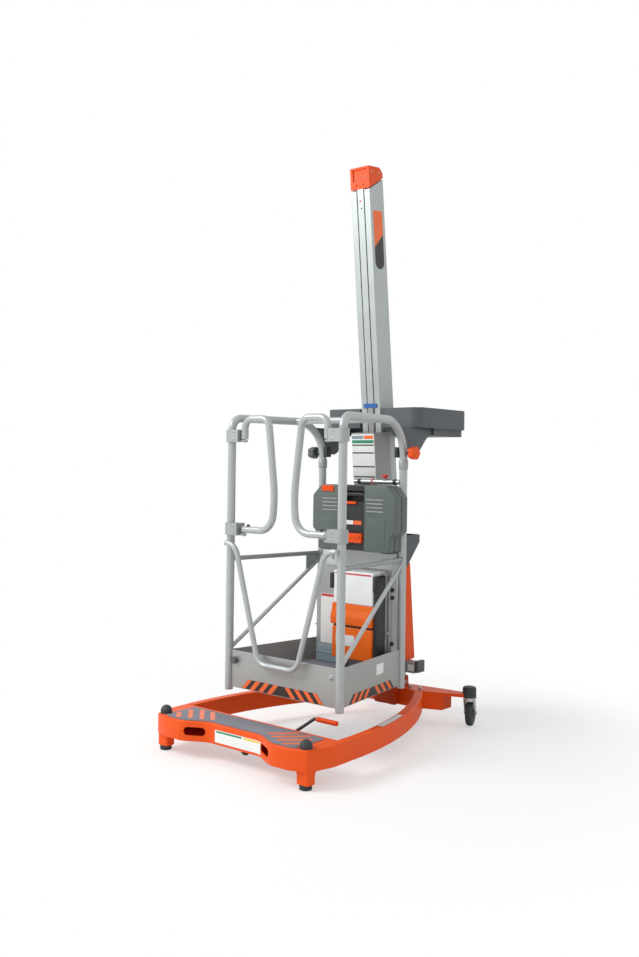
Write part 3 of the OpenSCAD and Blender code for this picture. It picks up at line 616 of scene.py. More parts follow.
@dataclass(frozen=True)
class Finish:
    """A surface as it was made: its colour, how rough it is and the size of its grain.

    Args:
        name: the material's name.
        colour: sRGB hex.
        roughness: mean roughness.
        grain_mm: size of the fine pattern.
        relief: strength of the fine pattern's bump.
        metallic: 1 for bare metal.
        coat: weight of a clear gloss layer.
        cloud: how much the tone varies over patches of about 150 mm.
        grain: the coordinates read.
        shine: level of the plain reflection, 0.5 being that of most paints and plastics.
    """

    name: str
    colour: str
    roughness: float = 0.5
    grain_mm: float = 1.0
    relief: float = 0.1
    metallic: float = 0.0
    coat: float = 0.0
    cloud: float = 0.06
    grain: Grain = Grain.OBJECT
    shine: float = 0.5

    def place(self, tree: Tree) -> Socket:
        """Returns the socket with the coordinates of the finish."""
        if self.grain is Grain.RUN:
            return add_node(tree, "ShaderNodeAttribute", attribute_name="run").outputs["Vector"]
        return add_node(tree, "ShaderNodeTexCoord").outputs["Object"]

    def height(self, tree: Tree, place: Socket) -> Socket:
        """Returns the fine pattern: soft noise of the grain's size."""
        return noise(tree, place, self.grain_mm, 3.0, 0.5)

    def material(self) -> bpy.types.Material:
        """Builds the material once and returns it.

        Tone: the colour darkens and lightens with broad noise. Roughness: the mean plus a little
        of the same noise. Relief: the fine pattern through a bump of four tenths of a millimetre.
        """
        known = bpy.data.materials.get(self.name)
        if known:
            return known
        material = bpy.data.materials.new(self.name)
        material.use_nodes = True
        tree = material.node_tree
        place = self.place(tree)
        broad = noise(tree, place, 150.0, 4.0, 0.55)
        fine = self.height(tree, place)
        tone = ranged(tree, broad, (0.3, 0.7), (1 - self.cloud, 1 + self.cloud))
        speck = ranged(tree, fine, (0.25, 0.75), (1 - 0.5 * self.cloud, 1 + 0.5 * self.cloud))
        level = add_node(tree, "ShaderNodeMath", {0: tone, 1: speck}, operation="MULTIPLY")
        shade = add_node(tree, "ShaderNodeVectorMath",
                         {0: linear(self.colour)[:3], "Scale": level.outputs[0]}, operation="SCALE")
        rough = ranged(tree, broad, (0.3, 0.7), (max(0.05, self.roughness - 0.06), self.roughness + 0.06))
        bump = add_node(tree, "ShaderNodeBump",
                        {"Height": fine, "Strength": self.relief, "Distance": 0.4 * MM})
        shader = tree.nodes["Principled BSDF"]
        tree.links.new(shade.outputs["Vector"], shader.inputs["Base Color"])
        tree.links.new(rough, shader.inputs["Roughness"])
        tree.links.new(bump.outputs["Normal"], shader.inputs["Normal"])
        for key, value in (("Metallic", self.metallic), ("Coat Weight", self.coat),
                           ("Specular IOR Level", self.shine), ("Coat Roughness", 0.12)):
            shader.inputs[key].default_value = value
        return material


@dataclass(frozen=True)
class Extruded(Finish):
    """Anodised aluminium, extruded: fine die lines along the length, 0.8 mm apart, drawn coarser
    than the real ones so that they show. The eye sees a satin sheen broken into long streaks."""

    lines_along: Point = (1.0, 1.0, 0.012)

    def height(self, tree: Tree, place: Socket) -> Socket:
        """Returns noise drawn out along the extrusion."""
        drawn = add_node(tree, "ShaderNodeMapping", {"Vector": place, "Scale": self.lines_along})
        return noise(tree, drawn.outputs["Vector"], self.grain_mm, 2.0, 0.6)


@dataclass(frozen=True)
class Gritted(Finish):
    """Non-slip mat of rubber with hard grit: rounded grains of about 2 mm that catch the light."""

    def height(self, tree: Tree, place: Socket) -> Socket:
        """Returns the distance to the nearest grain's middle."""
        return cells(tree, place, self.grain_mm).outputs["Distance"]


@dataclass(frozen=True)
class Spangled(Finish):
    """Zinc-plated steel: flat crystals of about 5 mm, each a little lighter or darker."""

    def height(self, tree: Tree, place: Socket) -> Socket:
        """Returns one tone for each crystal."""
        tones = cells(tree, place, self.grain_mm).outputs["Color"]
        return add_node(tree, "ShaderNodeSeparateXYZ", {0: tones}).outputs["X"]


# powder coat on cast and welded steel: glossy, with the orange peel of about 2.5 mm
POWDER = Finish("powder_coat_orange", "#E95410", 0.42, 2.5, 0.16, cloud=0.035, shine=0.22)
# a darker copy of the orange powder coat: painted shade for the mast's socket and shoe at the mast's foot
POWDER_SHADED = Finish("powder_coat_painted_shade", "#B8400E", 0.45, 2.5, 0.16, cloud=0.04, shine=0.22)
# ABS mouldings in the same orange: fine spark-eroded grain
ABS_ORANGE = Finish("moulded_abs_orange", "#E95214", 0.4, 0.9, 0.12, cloud=0.02, shine=0.25)
ABS_PACK = Finish("moulded_abs_pack", "#F06A18", 0.38, 0.9, 0.1, cloud=0.02, shine=0.25)
# anodised aluminium tube and box extrusions
TUBE = Extruded("anodised_tube", "#AEB3B4", 0.3, 0.8, 0.03, metallic=0.3, cloud=0.03, grain=Grain.RUN)
TUBE_DARK = Extruded("anodised_tube_dull", "#94989A", 0.4, 0.8, 0.03, metallic=0.3, cloud=0.03,
                     grain=Grain.RUN)
MAST_METAL = Extruded("anodised_mast", "#ADB4B2", 0.4, 1.0, 0.08, metallic=0.45, cloud=0.03)
SHEET = Extruded("rolled_sheet", "#A3A6A4", 0.44, 1.2, 0.06, metallic=0.4, cloud=0.04,
                 lines_along=(0.012, 0.012, 1.0))
ZINC = Spangled("zinc_plate", "#B4B7B5", 0.32, 5.0, 0.05, metallic=0.85, cloud=0.1)
CAST_GREY = Finish("cast_aluminium", "#A2A6A5", 0.48, 1.6, 0.2, metallic=0.4, cloud=0.06)
GREY_PAINT = Finish("grey_enamel", "#9A9C98", 0.42, 2.2, 0.12, coat=0.1, cloud=0.04)
# a lightened copy of the grey enamel: painted light that offsets the shade the cross panel stands in
ENAMEL_PAINTED_LIGHT = Finish("grey_enamel_painted_light", "#D2D5D3", 0.44, 2.2, 0.12, cloud=0.04)
# rubbers and dark mouldings
RUBBER = Finish("moulded_rubber", "#2E3436", 0.62, 1.2, 0.2, cloud=0.08)
TREAD = Finish("caster_rubber", "#343A3C", 0.66, 1.0, 0.25, cloud=0.1)
MAT = Gritted("grit_mat", "#7C7D86", 0.8, 2.2, 0.6, cloud=0.12)
GRAPHITE = Finish("moulded_pp_graphite", "#4E5356", 0.5, 1.1, 0.3, cloud=0.05)
BLACK = Finish("moulded_nylon_black", "#1F2123", 0.5, 1.0, 0.2, cloud=0.08)
CASE = Finish("moulded_abs_case", "#59645F", 0.46, 1.0, 0.3, cloud=0.04)
BLUE_GREY = Finish("moulded_abs_blue_grey", "#84969C", 0.45, 1.0, 0.15, cloud=0.04)
BLUE = Finish("glide_nylon_blue", "#2C62A8", 0.35, 0.8, 0.08, cloud=0.03)
RED = Finish("signal_red_abs", "#D2262B", 0.26, 0.8, 0.04, coat=0.4, cloud=0.02)
PINK = Finish("signal_ring", "#D98A86", 0.4, 0.8, 0.05, cloud=0.03)
DARK_RED = Finish("pedal_red", "#7E1F22", 0.5, 1.0, 0.15, cloud=0.06)
PANEL = Finish("moulded_abs_white", "#F1F4F3", 0.42, 0.9, 0.1, cloud=0.02)
# vinyl labels: smooth film with a faint ripple
LABEL = Finish("vinyl_white", "#E9ECEA", 0.38, 6.0, 0.05, cloud=0.02)
LABEL_GREEN = Finish("vinyl_green", "#2B8E6B", 0.38, 6.0, 0.05, cloud=0.02)
LABEL_YELLOW = Finish("vinyl_yellow", "#E3C72F", 0.38, 6.0, 0.05, cloud=0.02)
LABEL_RED = Finish("vinyl_red", "#CF3B3F", 0.38, 6.0, 0.05, cloud=0.02)
LABEL_BLACK = Finish("vinyl_black", "#26221F", 0.4, 6.0, 0.05, cloud=0.04)
LABEL_ORANGE = Finish("vinyl_orange", "#F26B2B", 0.4, 6.0, 0.05, cloud=0.03)


# Pieces

Parts = list[tuple[Surface, Finish]]


def mesh_of(name: str, surface: Surface) -> bpy.types.Mesh:
    """Returns a surface as a mesh in metres."""
    mesh = bpy.data.meshes.new(name)
    mesh.from_pydata((surface.points * MM).tolist(), [],
                     [face for group in surface.faces for face in group.tolist()])
    return mesh


def smooth(mesh: bpy.types.Mesh) -> None:
    """Shades a mesh smooth and leaves its creases sharp."""
    mesh.shade_smooth()
    mesh.set_sharp_from_angle(angle=CREASE)


def linked(name: str, data: bpy.types.ID) -> bpy.types.Object:
    """Returns a new object of that data, in the scene."""
    piece = bpy.data.objects.new(name, data)
    bpy.context.scene.collection.objects.link(piece)
    return piece


def attach(piece: bpy.types.Object, body: str, replaces: tuple[str, ...]) -> bpy.types.Object:
    """Declares what a piece rides on and the nodes it stands for, and reports it."""
    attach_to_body(piece, body)
    if replaces:
        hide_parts(*replaces)
    log.info("%s: %d faces on %s", piece.name, len(piece.data.polygons), body)
    return piece


def build(name: str, parts: Parts, body: str,
          replaces: tuple[str, ...] = ()) -> bpy.types.Object:
    """Makes one object of surfaces, each in its finish, and lets it ride on a body.

    Args:
        name: the piece's name.
        parts: surfaces in millimetres and their finishes.
        body: the CAD body that carries it.
        replaces: CAD nodes that it stands for.

    Returns:
        The object, with its place in its mesh.
    """
    whole = joined([surface for surface, _ in parts])
    finishes = list(dict.fromkeys(finish for _, finish in parts))
    numbers = [finishes.index(finish) for surface, finish in parts for group in surface.faces for _ in group]
    mesh = mesh_of(name, whole)
    mesh.polygons.foreach_set("material_index", np.array(numbers, np.int32))
    run = mesh.attributes.new("run", "FLOAT_VECTOR", "POINT")
    run.data.foreach_set("vector", (whole.grain() * MM).astype(np.float32).ravel())
    for finish in finishes:
        mesh.materials.append(finish.material())
    mesh.validate()
    smooth(mesh)
    return attach(linked(name, mesh), body, replaces)


def placed(parts: Parts, axes: Axes) -> Parts:
    """Returns parts carried from the local axes into the part's frame."""
    return [(surface.to(axes), finish) for surface, finish in parts]


def handed(parts: Parts, side: str) -> Parts:
    """Returns parts drawn for the right side as they are, or mirrored for the left one."""
    return parts if side == "right" else [(surface.mirrored(), finish) for surface, finish in parts]


def round_edges(piece: bpy.types.Object, radius: float, segments: int = 3) -> None:
    """Rounds every edge of a piece that is sharper than 40 degrees.

    Args:
        piece: the object.
        radius: width of the rounding in millimetres.
        segments: stretches in each rounding.
    """
    bevel = piece.modifiers.new("rounded_edges", "BEVEL")
    bevel.width = radius * MM
    bevel.segments = segments
    bevel.limit_method = "ANGLE"
    bevel.angle_limit = BEVEL_FROM
    bevel.use_clamp_overlap = True
    bevel.harden_normals = True


def carve(piece: bpy.types.Object, cutters: list[Surface]) -> None:
    """Takes closed surfaces out of a piece's mesh for good and leaves nothing of the cutters.

    Args:
        piece: the object.
        cutters: closed surfaces in millimetres.
    """
    blades = [linked("cutter", mesh_of("cutter", cutter)) for cutter in cutters]
    for blade in blades:
        cut = piece.modifiers.new("cut", "BOOLEAN")
        cut.operation, cut.solver, cut.object = "DIFFERENCE", "EXACT", blade
    bpy.context.view_layer.update()
    whole = bpy.data.meshes.new_from_object(piece.evaluated_get(bpy.context.evaluated_depsgraph_get()))
    piece.modifiers.clear()
    piece.data = whole
    smooth(whole)
    for blade in blades:
        bpy.data.meshes.remove(blade.data)


@dataclass
class Workshop:
    """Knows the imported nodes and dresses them.

    Args:
        nodes: the CAD nodes by name.
        body_of: the body that carries each node.
    """

    nodes: dict[str, bpy.types.Object]
    body_of: dict[str, str]

    def soften(self, node: str, radius: float, finish: Finish, slot: str, segments: int = 3) -> None:
        """Stands in for a node with a copy whose edges are rounded.

        The copy's doubles are merged and its flat areas made whole before a Bevel modifier rounds
        every edge sharper than 40 degrees.

        Args:
            node: the CAD node.
            radius: width of the rounding in millimetres.
            finish: its finish.
            slot: the record's material slot; not used.
            segments: stretches in each rounding.
        """
        mesh = self.nodes[node].data.copy()
        mesh.name = node + "_shell"
        work = bmesh.new()
        work.from_mesh(mesh)
        bmesh.ops.remove_doubles(work, verts=work.verts, dist=0.01 * MM)
        bmesh.ops.dissolve_limit(work, angle_limit=math.radians(0.6), verts=work.verts, edges=work.edges)
        work.to_mesh(mesh)
        work.free()
        mesh.materials.clear()
        mesh.materials.append(finish.material())
        mesh.polygons.foreach_set("material_index", np.zeros(len(mesh.polygons), np.int32))
        smooth(mesh)
        piece = linked(node + "_shell", mesh)
        if radius > 0:
            round_edges(piece, radius, segments)
        attach(piece, self.body_of[node], (node,))

    def finish_node(self, node: str, finish: Finish) -> None:
        """Gives a CAD node that stays a finish of its own."""
        mesh = self.nodes[node].data
        if not mesh.materials:
            mesh.materials.append(None)
        for slot in self.nodes[node].material_slots:
            slot.material = finish.material()
        log.info("%s: finished as %s", node, finish.name)


def striped(x_low: float, x_high: float, z_low: float, z_high: float, slope: float, pitch: float,
            taper: float, thinnest: float = 1.5) -> tuple[Surface, Surface]:
    """Draws a band of slanted stripes on the local XY plane, leaning away from the middle.

    The band runs from x_low to x_high, drawn in by the taper at the top. A stripe is the part of
    the band between two lines of the slope, half a pitch apart.

    Args:
        x_low, x_high: ends of the band at its lower edge.
        z_low, z_high: its lower and upper edges.
        slope: sideways reach of a stripe over the band's height.
        pitch: distance from one stripe to the next.
        taper: how much shorter the upper edge is at each end.
        thinnest: width that a stripe keeps at both edges where the band's end cuts it.

    Returns:
        The band's ground and the stripes on it.
    """
    ground = slab(np.array([(x_low, z_low), (x_high, z_low), (x_high - taper, z_high),
                            (x_low + taper, z_high)]), 0.0, 0.5, 0.15, 1)
    middle, half = (x_low + x_high) / 2, (x_high - x_low) / 2
    stripes = []
    for side in (-1, 1):
        for k in range(int(half / pitch)):
            foot = (k + 0.35) * pitch
            # the lower corners lie further out than the upper ones
            lower = [min(v + slope, half - 1.0) for v in (foot, foot + pitch / 2)]
            upper = [min(v, half - taper - 1.0) for v in (foot, foot + pitch / 2)]
            if max(lower[1] - lower[0], upper[1] - upper[0]) < thinnest:
                continue
            lower[0], upper[0] = (min(start, end - thinnest) for start, end in (lower, upper))
            corners = ((lower[0], z_low + 0.6), (lower[1], z_low + 0.6), (upper[1], z_high - 0.6),
                       (upper[0], z_high - 0.6))
            shape = np.array([(middle + side * x, z) for x, z in corners])
            stripes.append(slab(shape[::side], 0.4, 0.9, 0.15, 1))
    return ground, joined(stripes)


@dataclass
class Base:
    """The low rolling base: front beam, curved rails, rear beam, feet, step mat and fittings."""

    shop: Workshop
    feet_x: float = 380.0
    foot_r: float = 24.0
    foot_h: float = 20.0
    dome_h: float = 33.0
    notch_half: float = 118.0
    notch_ramp: float = 145.0
    notch_back: float = 8.0
    front_ahead: float = 48.0
    slot: tuple[float, float] = (92.0, 34.0)
    beam_rear: float = FEET_Y + 165.0
    beam_wall: float = 6.0

    def frame(self) -> None:
        """Dresses the painted steel of the base, with the weld and the fill where the beam meets
        each rail."""
        self.shop.soften("side_rails", 4.0, POWDER, "orange_paint")
        self.shop.soften("rear_beam", 4.0, POWDER, "orange_paint")
        # the socket in the darker copy of the orange: painted shade
        self.shop.soften("mast_socket", 3.0, POWDER_SHADED, "dark_orange_paint")
        self.shop.soften("jack_guide", 2.0, GREY_PAINT, "bright_steel")
        y = self.beam_rear
        line = np.array([(x, y + 0.5, BASE_TOP - 1.0) for x in (398.0, 432.0)])
        fill = block((428.0, y - 8.0, 72.0), (BASE_HALF - 0.15, y + 9.0, BASE_TOP - 7.5), 0.3, 0.2)
        build("base_welds", [((seam(line, (0, 0, 1), 2.2) + fill).pair(), POWDER)], "base")

    def front_at(self, x: np.ndarray) -> np.ndarray:
        """Returns the depth of the beam's front: level in the middle, and beyond it a curve that
        comes forward with the square of the sine of a quarter turn."""
        share = np.clip((np.abs(x) - self.notch_half) / self.notch_ramp, 0.0, 1.0)
        reach = self.front_ahead + self.notch_back
        return FEET_Y + self.notch_back - reach * np.sin(0.5 * np.pi * share) ** 2

    def on_front(self, x0: float, x1: float, z0: float, z1: float, lift: tuple[float, float]) -> Surface:
        """Returns a film bent to the beam's front, between two distances from it."""
        x = np.linspace(x0, x1, 24)
        near, far = (np.stack([x, self.front_at(x) - gap], -1) for gap in lift)
        return slab(np.vstack([far, near[::-1]]), z0, z1, 0.1, 1)

    def beam_half(self) -> np.ndarray:
        """Returns the right half of the beam's outline seen from above, from its middle front to
        its middle rear: the front's curve, a level stretch, the corner over the foot, the side."""
        x = self.notch_half + self.notch_ramp * np.linspace(0, 1, 25)
        curve = np.stack([x, self.front_at(x)], -1)
        level = FEET_Y - self.front_ahead
        corner = rounded([(self.feet_x - 50, level), (self.feet_x + 29, FEET_Y - 22),
                          (BASE_HALF, FEET_Y + 95), (BASE_HALF, self.beam_rear)], [40, 16, 60, 0],
                         closed=False, steps=8)
        return np.vstack([[(0.0, curve[0, 1])], curve, corner, [(0.0, self.beam_rear)]])

    def beam(self) -> None:
        """Builds the hollow front beam with its rolled upper edge and hand slots, and the pan
        inside it with three openings."""
        outline = whole_outline(self.beam_half())
        turn = np.linspace(0, np.pi / 2, 6)
        rims = np.concatenate([[1.5, 0.4, 0.0], 7.0 * (1 - np.cos(turn))])
        levels = np.concatenate([[70.0, 70.4, 71.5], BASE_TOP - 7.0 + 7.0 * np.sin(turn)])
        shell = lofted(raised(inset(outline, rims), levels))
        piece = build("front_beam_shell", [(shell, POWDER)], "base", ("front_beam",))
        hollow = slab(inset(outline, self.beam_wall), 60.0, BASE_TOP - self.beam_wall, 0.5, 1)
        lean = math.atan2(self.front_ahead + self.notch_back, self.notch_ramp)
        sine, cosine = math.sin(lean), math.cos(lean)
        half_way = (self.notch_half + self.notch_ramp / 2,
                    FEET_Y - (self.front_ahead - self.notch_back) / 2, BASE_TOP - 40.0)
        width, height = self.slot
        slot = slab(rectangle(width, height, height / 2 - 0.01, 10), -30.0, 30.0, 0.1, 1)
        slot = slot.to(Axes(half_way, x=(cosine, -sine, 0.0), z=(-sine, -cosine, 0.0)))
        carve(piece, [hollow, slot, slot.mirrored()])
        round_edges(piece, 1.8)
        gap = block((-45.0, FEET_Y + 23.0, 60.0), (45.0, FEET_Y + 118.0, 80.0), 4.0, 0.5)
        vent = block((130.0, FEET_Y - 30.0, 60.0), (310.0, FEET_Y + 14.0, 80.0), 8.0, 0.5)
        plate = slab(inset(outline, self.beam_wall - 0.5), 70.5, 74.0, 0.3, 1)
        pan = build("beam_pan", [(plate, POWDER)], "base")
        carve(pan, [gap, vent, vent.mirrored()])

    def legs(self) -> None:
        """Builds the legs over the front feet, each flaring out into the beam's underside."""
        x0, x1 = self.feet_x - 29.0, self.feet_x + 28.0
        y0, y1 = FEET_Y - 21.0, FEET_Y + 22.0
        levels = [(0.0, self.foot_h), (0.0, 50.0)]
        levels += [(20.0 * (1 - math.cos(a)), 50.0 + 20.0 * math.sin(a))
                   for a in np.linspace(0, np.pi / 2, 8)]
        levels.append((levels[-1][0], levels[-1][1] + 2.0))
        grown = [[(x0 - grow, y0), (x1, y0), (x1, y1 + grow), (x0 - grow, y1 + grow)] for grow, _ in levels]
        plan = np.array([rounded(corners, [6, 10, 6, 6], steps=5) for corners in grown])
        leg = lofted(raised(plan, np.array([z for _, z in levels])))
        build("front_legs", [(leg.pair(), POWDER)], "base")

    def rear_fittings(self) -> None:
        """Builds the rubber caps over the casters' tongues, the shoe at the mast's foot and the tie
        bar behind it."""
        turn = np.linspace(0, np.pi / 2, 8)[1:]
        brim = [(21.0 + 10.0 * math.cos(a), 24.0 + 10.0 * math.sin(a)) for a in turn]
        cap = turned([(0.5, -14.0), (31.0, -14.0), (31.0, 24.0)] + brim + [(0.5, 34.0)])
        at = Axes((CASTER_X, CASTER_Y, BASE_TOP))
        build("caster_caps", [(cap.to(at).pair(), RUBBER)], "base")
        shoe = block((-59.0, -6.5, 74.0), (59.0, 46.0, 126.0), 4.0, 2.0).to(ON_MAST)
        # the shoe in the darker copy of the orange: painted shade
        build("mast_shoe", [(shoe, POWDER_SHADED)], "base")
        low, high, deep, half, end = 212.0, 262.0, 46.0, 127.0, 21.0
        y = MAST_Y - low * math.sin(LEAN) + MAST_SIZE + 2.0
        bar = block((end - half, y, low), (half - end, y + deep, high), 3.0, 2.0)
        ears = block((54.0, y - 12, low), (half - end, y + 4, high), 3.0, 2.0)
        sign = slab(rectangle(34.0, 30.0, 3.0), -0.2, 0.6, 0.2, 1)
        sign = sign.to(facing_front(86.0, y - 12.0, low + 25.0))
        build("tie_bar_shell", [(bar + ears.pair(), SHEET), (sign, LABEL)], "base",
              ("tie_bar",))
        cap = block((half - end, y - 12, low + 5), (half, y + deep + 1, high + 9), 5.0, 4.0)
        build("tie_bar_caps", [(cap.pair(), GRAPHITE)], "base", ("tie_bar_ends",))

    def feet(self) -> None:
        """Turns the rubber feet and the bumper domes over them."""
        r, h = self.foot_r, self.foot_h
        foot = turned([(0.5, 0.0), (r - 4, 0.0), (r - 1.5, 1.0), (r, 3.0), (r, 8.0), (r - 1.6, 9.0),
                       (r - 1.6, 11.0), (r, 12.0), (r, h - 1.0), (r - 1.0, h), (0.5, h)])
        place = Axes((self.feet_x, FEET_Y, 0.0))
        build("front_foot_pads", [(foot.to(place).pair(), RUBBER)], "base", ("front_feet",))
        turn = np.linspace(0, 0.49 * np.pi, 14)
        arc = [(r * math.cos(a), 9 + (self.dome_h - 9) * math.sin(a)) for a in turn]
        dome = turned([(0.5, 0.0), (r, 0.0), (r, 5.0), (r - 1.2, 6.0), (r - 1.2, 7.2), (r, 8.2)] + arc)
        top = Axes((self.feet_x, FEET_Y, BASE_TOP))
        build("corner_bumpers", [(dome.to(top).pair(), RUBBER)], "base", ("corner_domes",))

    def mat(self) -> None:
        """Lays the step mat, cut round the corner domes, with stripe marks near both ends."""
        x = np.linspace(0.0, self.feet_x - 55.0, 40)
        front = np.stack([x, self.front_at(x) + 13.0], -1)
        side, bite_r = self.feet_x - 24.0, 32.0
        bite = math.asin((self.feet_x - side) / bite_r)
        turn = np.linspace(np.pi / 2 + bite, 1.5 * np.pi - bite, 10)[::-1]
        arc = np.array([self.feet_x, FEET_Y]) + bite_r * ways(turn)
        corner = rounded([(side, FEET_Y + 40), (side, FEET_Y + 140), (0.0, FEET_Y + 140)], [0, 12, 0],
                         closed=False)
        outline = whole_outline(np.vstack([front, [(side, FEET_Y - 24.5)], arc, corner]))
        top = BASE_TOP + 3.0
        build("step_mat", [(slab(outline, BASE_TOP - 0.1, top, 1.2, 2), MAT)], "base",
              ("step_pad",))
        bars = []
        for x0, y0, x1, y1 in ((150, 42, 236, 126), (190, 20, 296, 124), (236, 0, 332, 94),
                               (282, -22, 338, 32)):
            a, b = np.array([x0, FEET_Y + y0]), np.array([x1, FEET_Y + y1])
            across = 9.5 * unit(np.array([b[1] - a[1], a[0] - b[0]]))
            shape = rounded(np.array([a - across, a + across, b + across, b - across]), 1.5, steps=2)
            bars.append(slab(shape, top - 0.1, top + 0.35, 0.12, 1))
        build("step_stripes", [(joined(bars).pair(), LABEL_ORANGE)], "base")

    def signs(self) -> None:
        """Puts blank plates where the machine carries its signs, with their coloured headers."""
        plate = self.on_front(-101.0, 152.0, 80.0, 129.0, (-0.2, 0.6))
        green = self.on_front(-94.0, 46.0, 119.0, 126.5, (0.4, 0.8))
        yellow = self.on_front(56.0, 144.0, 119.0, 126.5, (0.4, 0.8))
        build("front_sign", [(plate, LABEL), (green, LABEL_GREEN), (yellow, LABEL_YELLOW)], "base")
        # plate along the top of the right rail, bent to the rail's own curve
        turn = np.radians(np.linspace(8.5, 16.0, 14))
        centre = np.array([BASE_HALF - RAIL_CURVE_R, FEET_Y + 200.0])
        outer, inner = (centre + (RAIL_CURVE_R - gap) * ways(turn) for gap in (8.0, 32.0))
        plate = slab(np.vstack([outer, inner[::-1]]), BASE_TOP - 0.1, BASE_TOP + 0.6, 0.1, 1)
        build("rail_sign", [(plate, LABEL)], "base")

    def fasteners(self) -> None:
        """Places the bolts of the base and of the mast's socket, and the lever's pivot."""
        heads = [bolt(Axes((x, 470.0, BASE_TOP)), 15.0, 7.0) for x in (95.0, 150.0)]
        heads += [bolt(facing_right(60.5, MAST_Y + y, 168.0), 11.0, 4.5) for y in (35.0, 70.0)]
        pivot = bolt(facing_right(120.0, LEVER_Y, LEVER_Z), 15.0, 5.0)
        build("base_bolts", [(joined(heads).pair() + pivot, ZINC)], "base")

    def make(self) -> None:
        """Builds the whole base."""
        self.frame()
        self.beam()
        self.legs()
        self.feet()
        self.rear_fittings()
        self.mat()
        self.signs()
        self.fasteners()


@dataclass
class Caster:
    """One rear caster: fork, tread, hub, nuts and brake pedal.

    Args:
        shop: the workshop.
        side: "right" or "left".
        turn: the angle at which it stands, in degrees.
    """

    shop: Workshop
    side: str
    turn: float
    wheel_r: float = 60.0
    wheel_w: float = 32.0
    trail: float = 28.0

    def axes(self, y: float = 0.0, z: float = 0.0) -> Axes:
        """Returns the caster's own axes: Z on the stem, X along the axle."""
        a = math.radians(self.turn)
        x = CASTER_X if self.side == "right" else -CASTER_X
        return Axes((x, CASTER_Y, 0.0), x=(math.cos(a), math.sin(a), 0.0)).at(y=y, z=z)

    def axle(self) -> Axes:
        """Returns axes on the wheel's middle with Z along the axle."""
        at = self.axes(self.trail, self.wheel_r)
        return Axes(at.origin, x=(0.0, 0.0, 1.0), z=at.x)

    def wheel(self) -> None:
        """Turns the tread with two fine grooves and the hub with its web."""
        r, w = self.wheel_r, self.wheel_w / 2
        tread = symmetric([(r - 17.5, -w + 3.5), (r - 9, -w + 0.4), (r - 4, -w + 2.6), (r - 1.2, -w + 6.5),
                           (r - 0.2, -w + 9.5), (r, -5.0), (r - 1.2, -4.4), (r - 1.2, -3.6), (r, -3.0)])
        web = symmetric([(5.2, -w), (15, -w), (16, -w + 1), (17.5, -7), (21, -6), (r - 24, -6), (r - 20, -8),
                         (r - 18.5, -12), (r - 17.6, -11.5)])
        tyre = turned(tread, 64, ring=True).to(self.axle())
        hub = turned(web, 56, ring=True).to(self.axle())
        for part, node, surface, finish, slot in (("tread", "tyre", tyre, TREAD, "caster_tread"),
                                                  ("hub", "hub", hub, GRAPHITE, "bright_steel")):
            build(f"caster_{self.side}_{part}", [(surface, finish)], f"{self.side}_wheel",
                  (f"caster_{node}_{self.side}",))

    def fork(self) -> None:
        """Dresses the fork: rounded cheeks, bearing ring, axle nuts and brake pedal."""
        body = f"{self.side}_swivel"
        self.shop.soften(f"caster_fork_{self.side}", 1.2, ZINC, "bright_steel", 2)
        ring = turned([(20, 119), (27, 119.5), (28, 122), (28, 126), (27, 128.5), (20, 129)], 40, ring=True)
        axle = self.axes(self.trail, self.wheel_r)
        nuts = []
        for way in (-1.0, 1.0):
            face = axle.at(way * (self.wheel_w / 2 + 9.0)).origin
            nuts.append(bolt(Axes(face, x=(0.0, 0.0, 1.0), z=tuple(way * np.array(axle.x))), 13.0, 2.6))
        bearing = ring.to(self.axes()) + joined(nuts)
        build(f"caster_{self.side}_bearing", [(bearing, ZINC)], body)
        outline = rounded([(-15, 0), (15, 0), (19, 56), (12, 70), (-12, 70), (-19, 56)], [2, 2, 6, 6, 6, 6],
                          steps=4)
        ribs = joined([block((-12, 26 + 9 * k, 5.5), (12, 30 + 9 * k, 7.6), 1.8, 0.8) for k in range(4)])
        tip = math.radians(-14)
        at = self.axes(20.0, 128.0)
        tilted = Axes(at.origin, at.x, (at.x[1] * math.sin(tip), -at.x[0] * math.sin(tip), math.cos(tip)))
        pedal = (slab(outline, 0.0, 6.0, 1.6) + ribs).to(tilted)
        build(f"caster_{self.side}_pedal", [(pedal, DARK_RED)], body)

    def make(self) -> None:
        """Builds the caster."""
        self.wheel()
        self.fork()


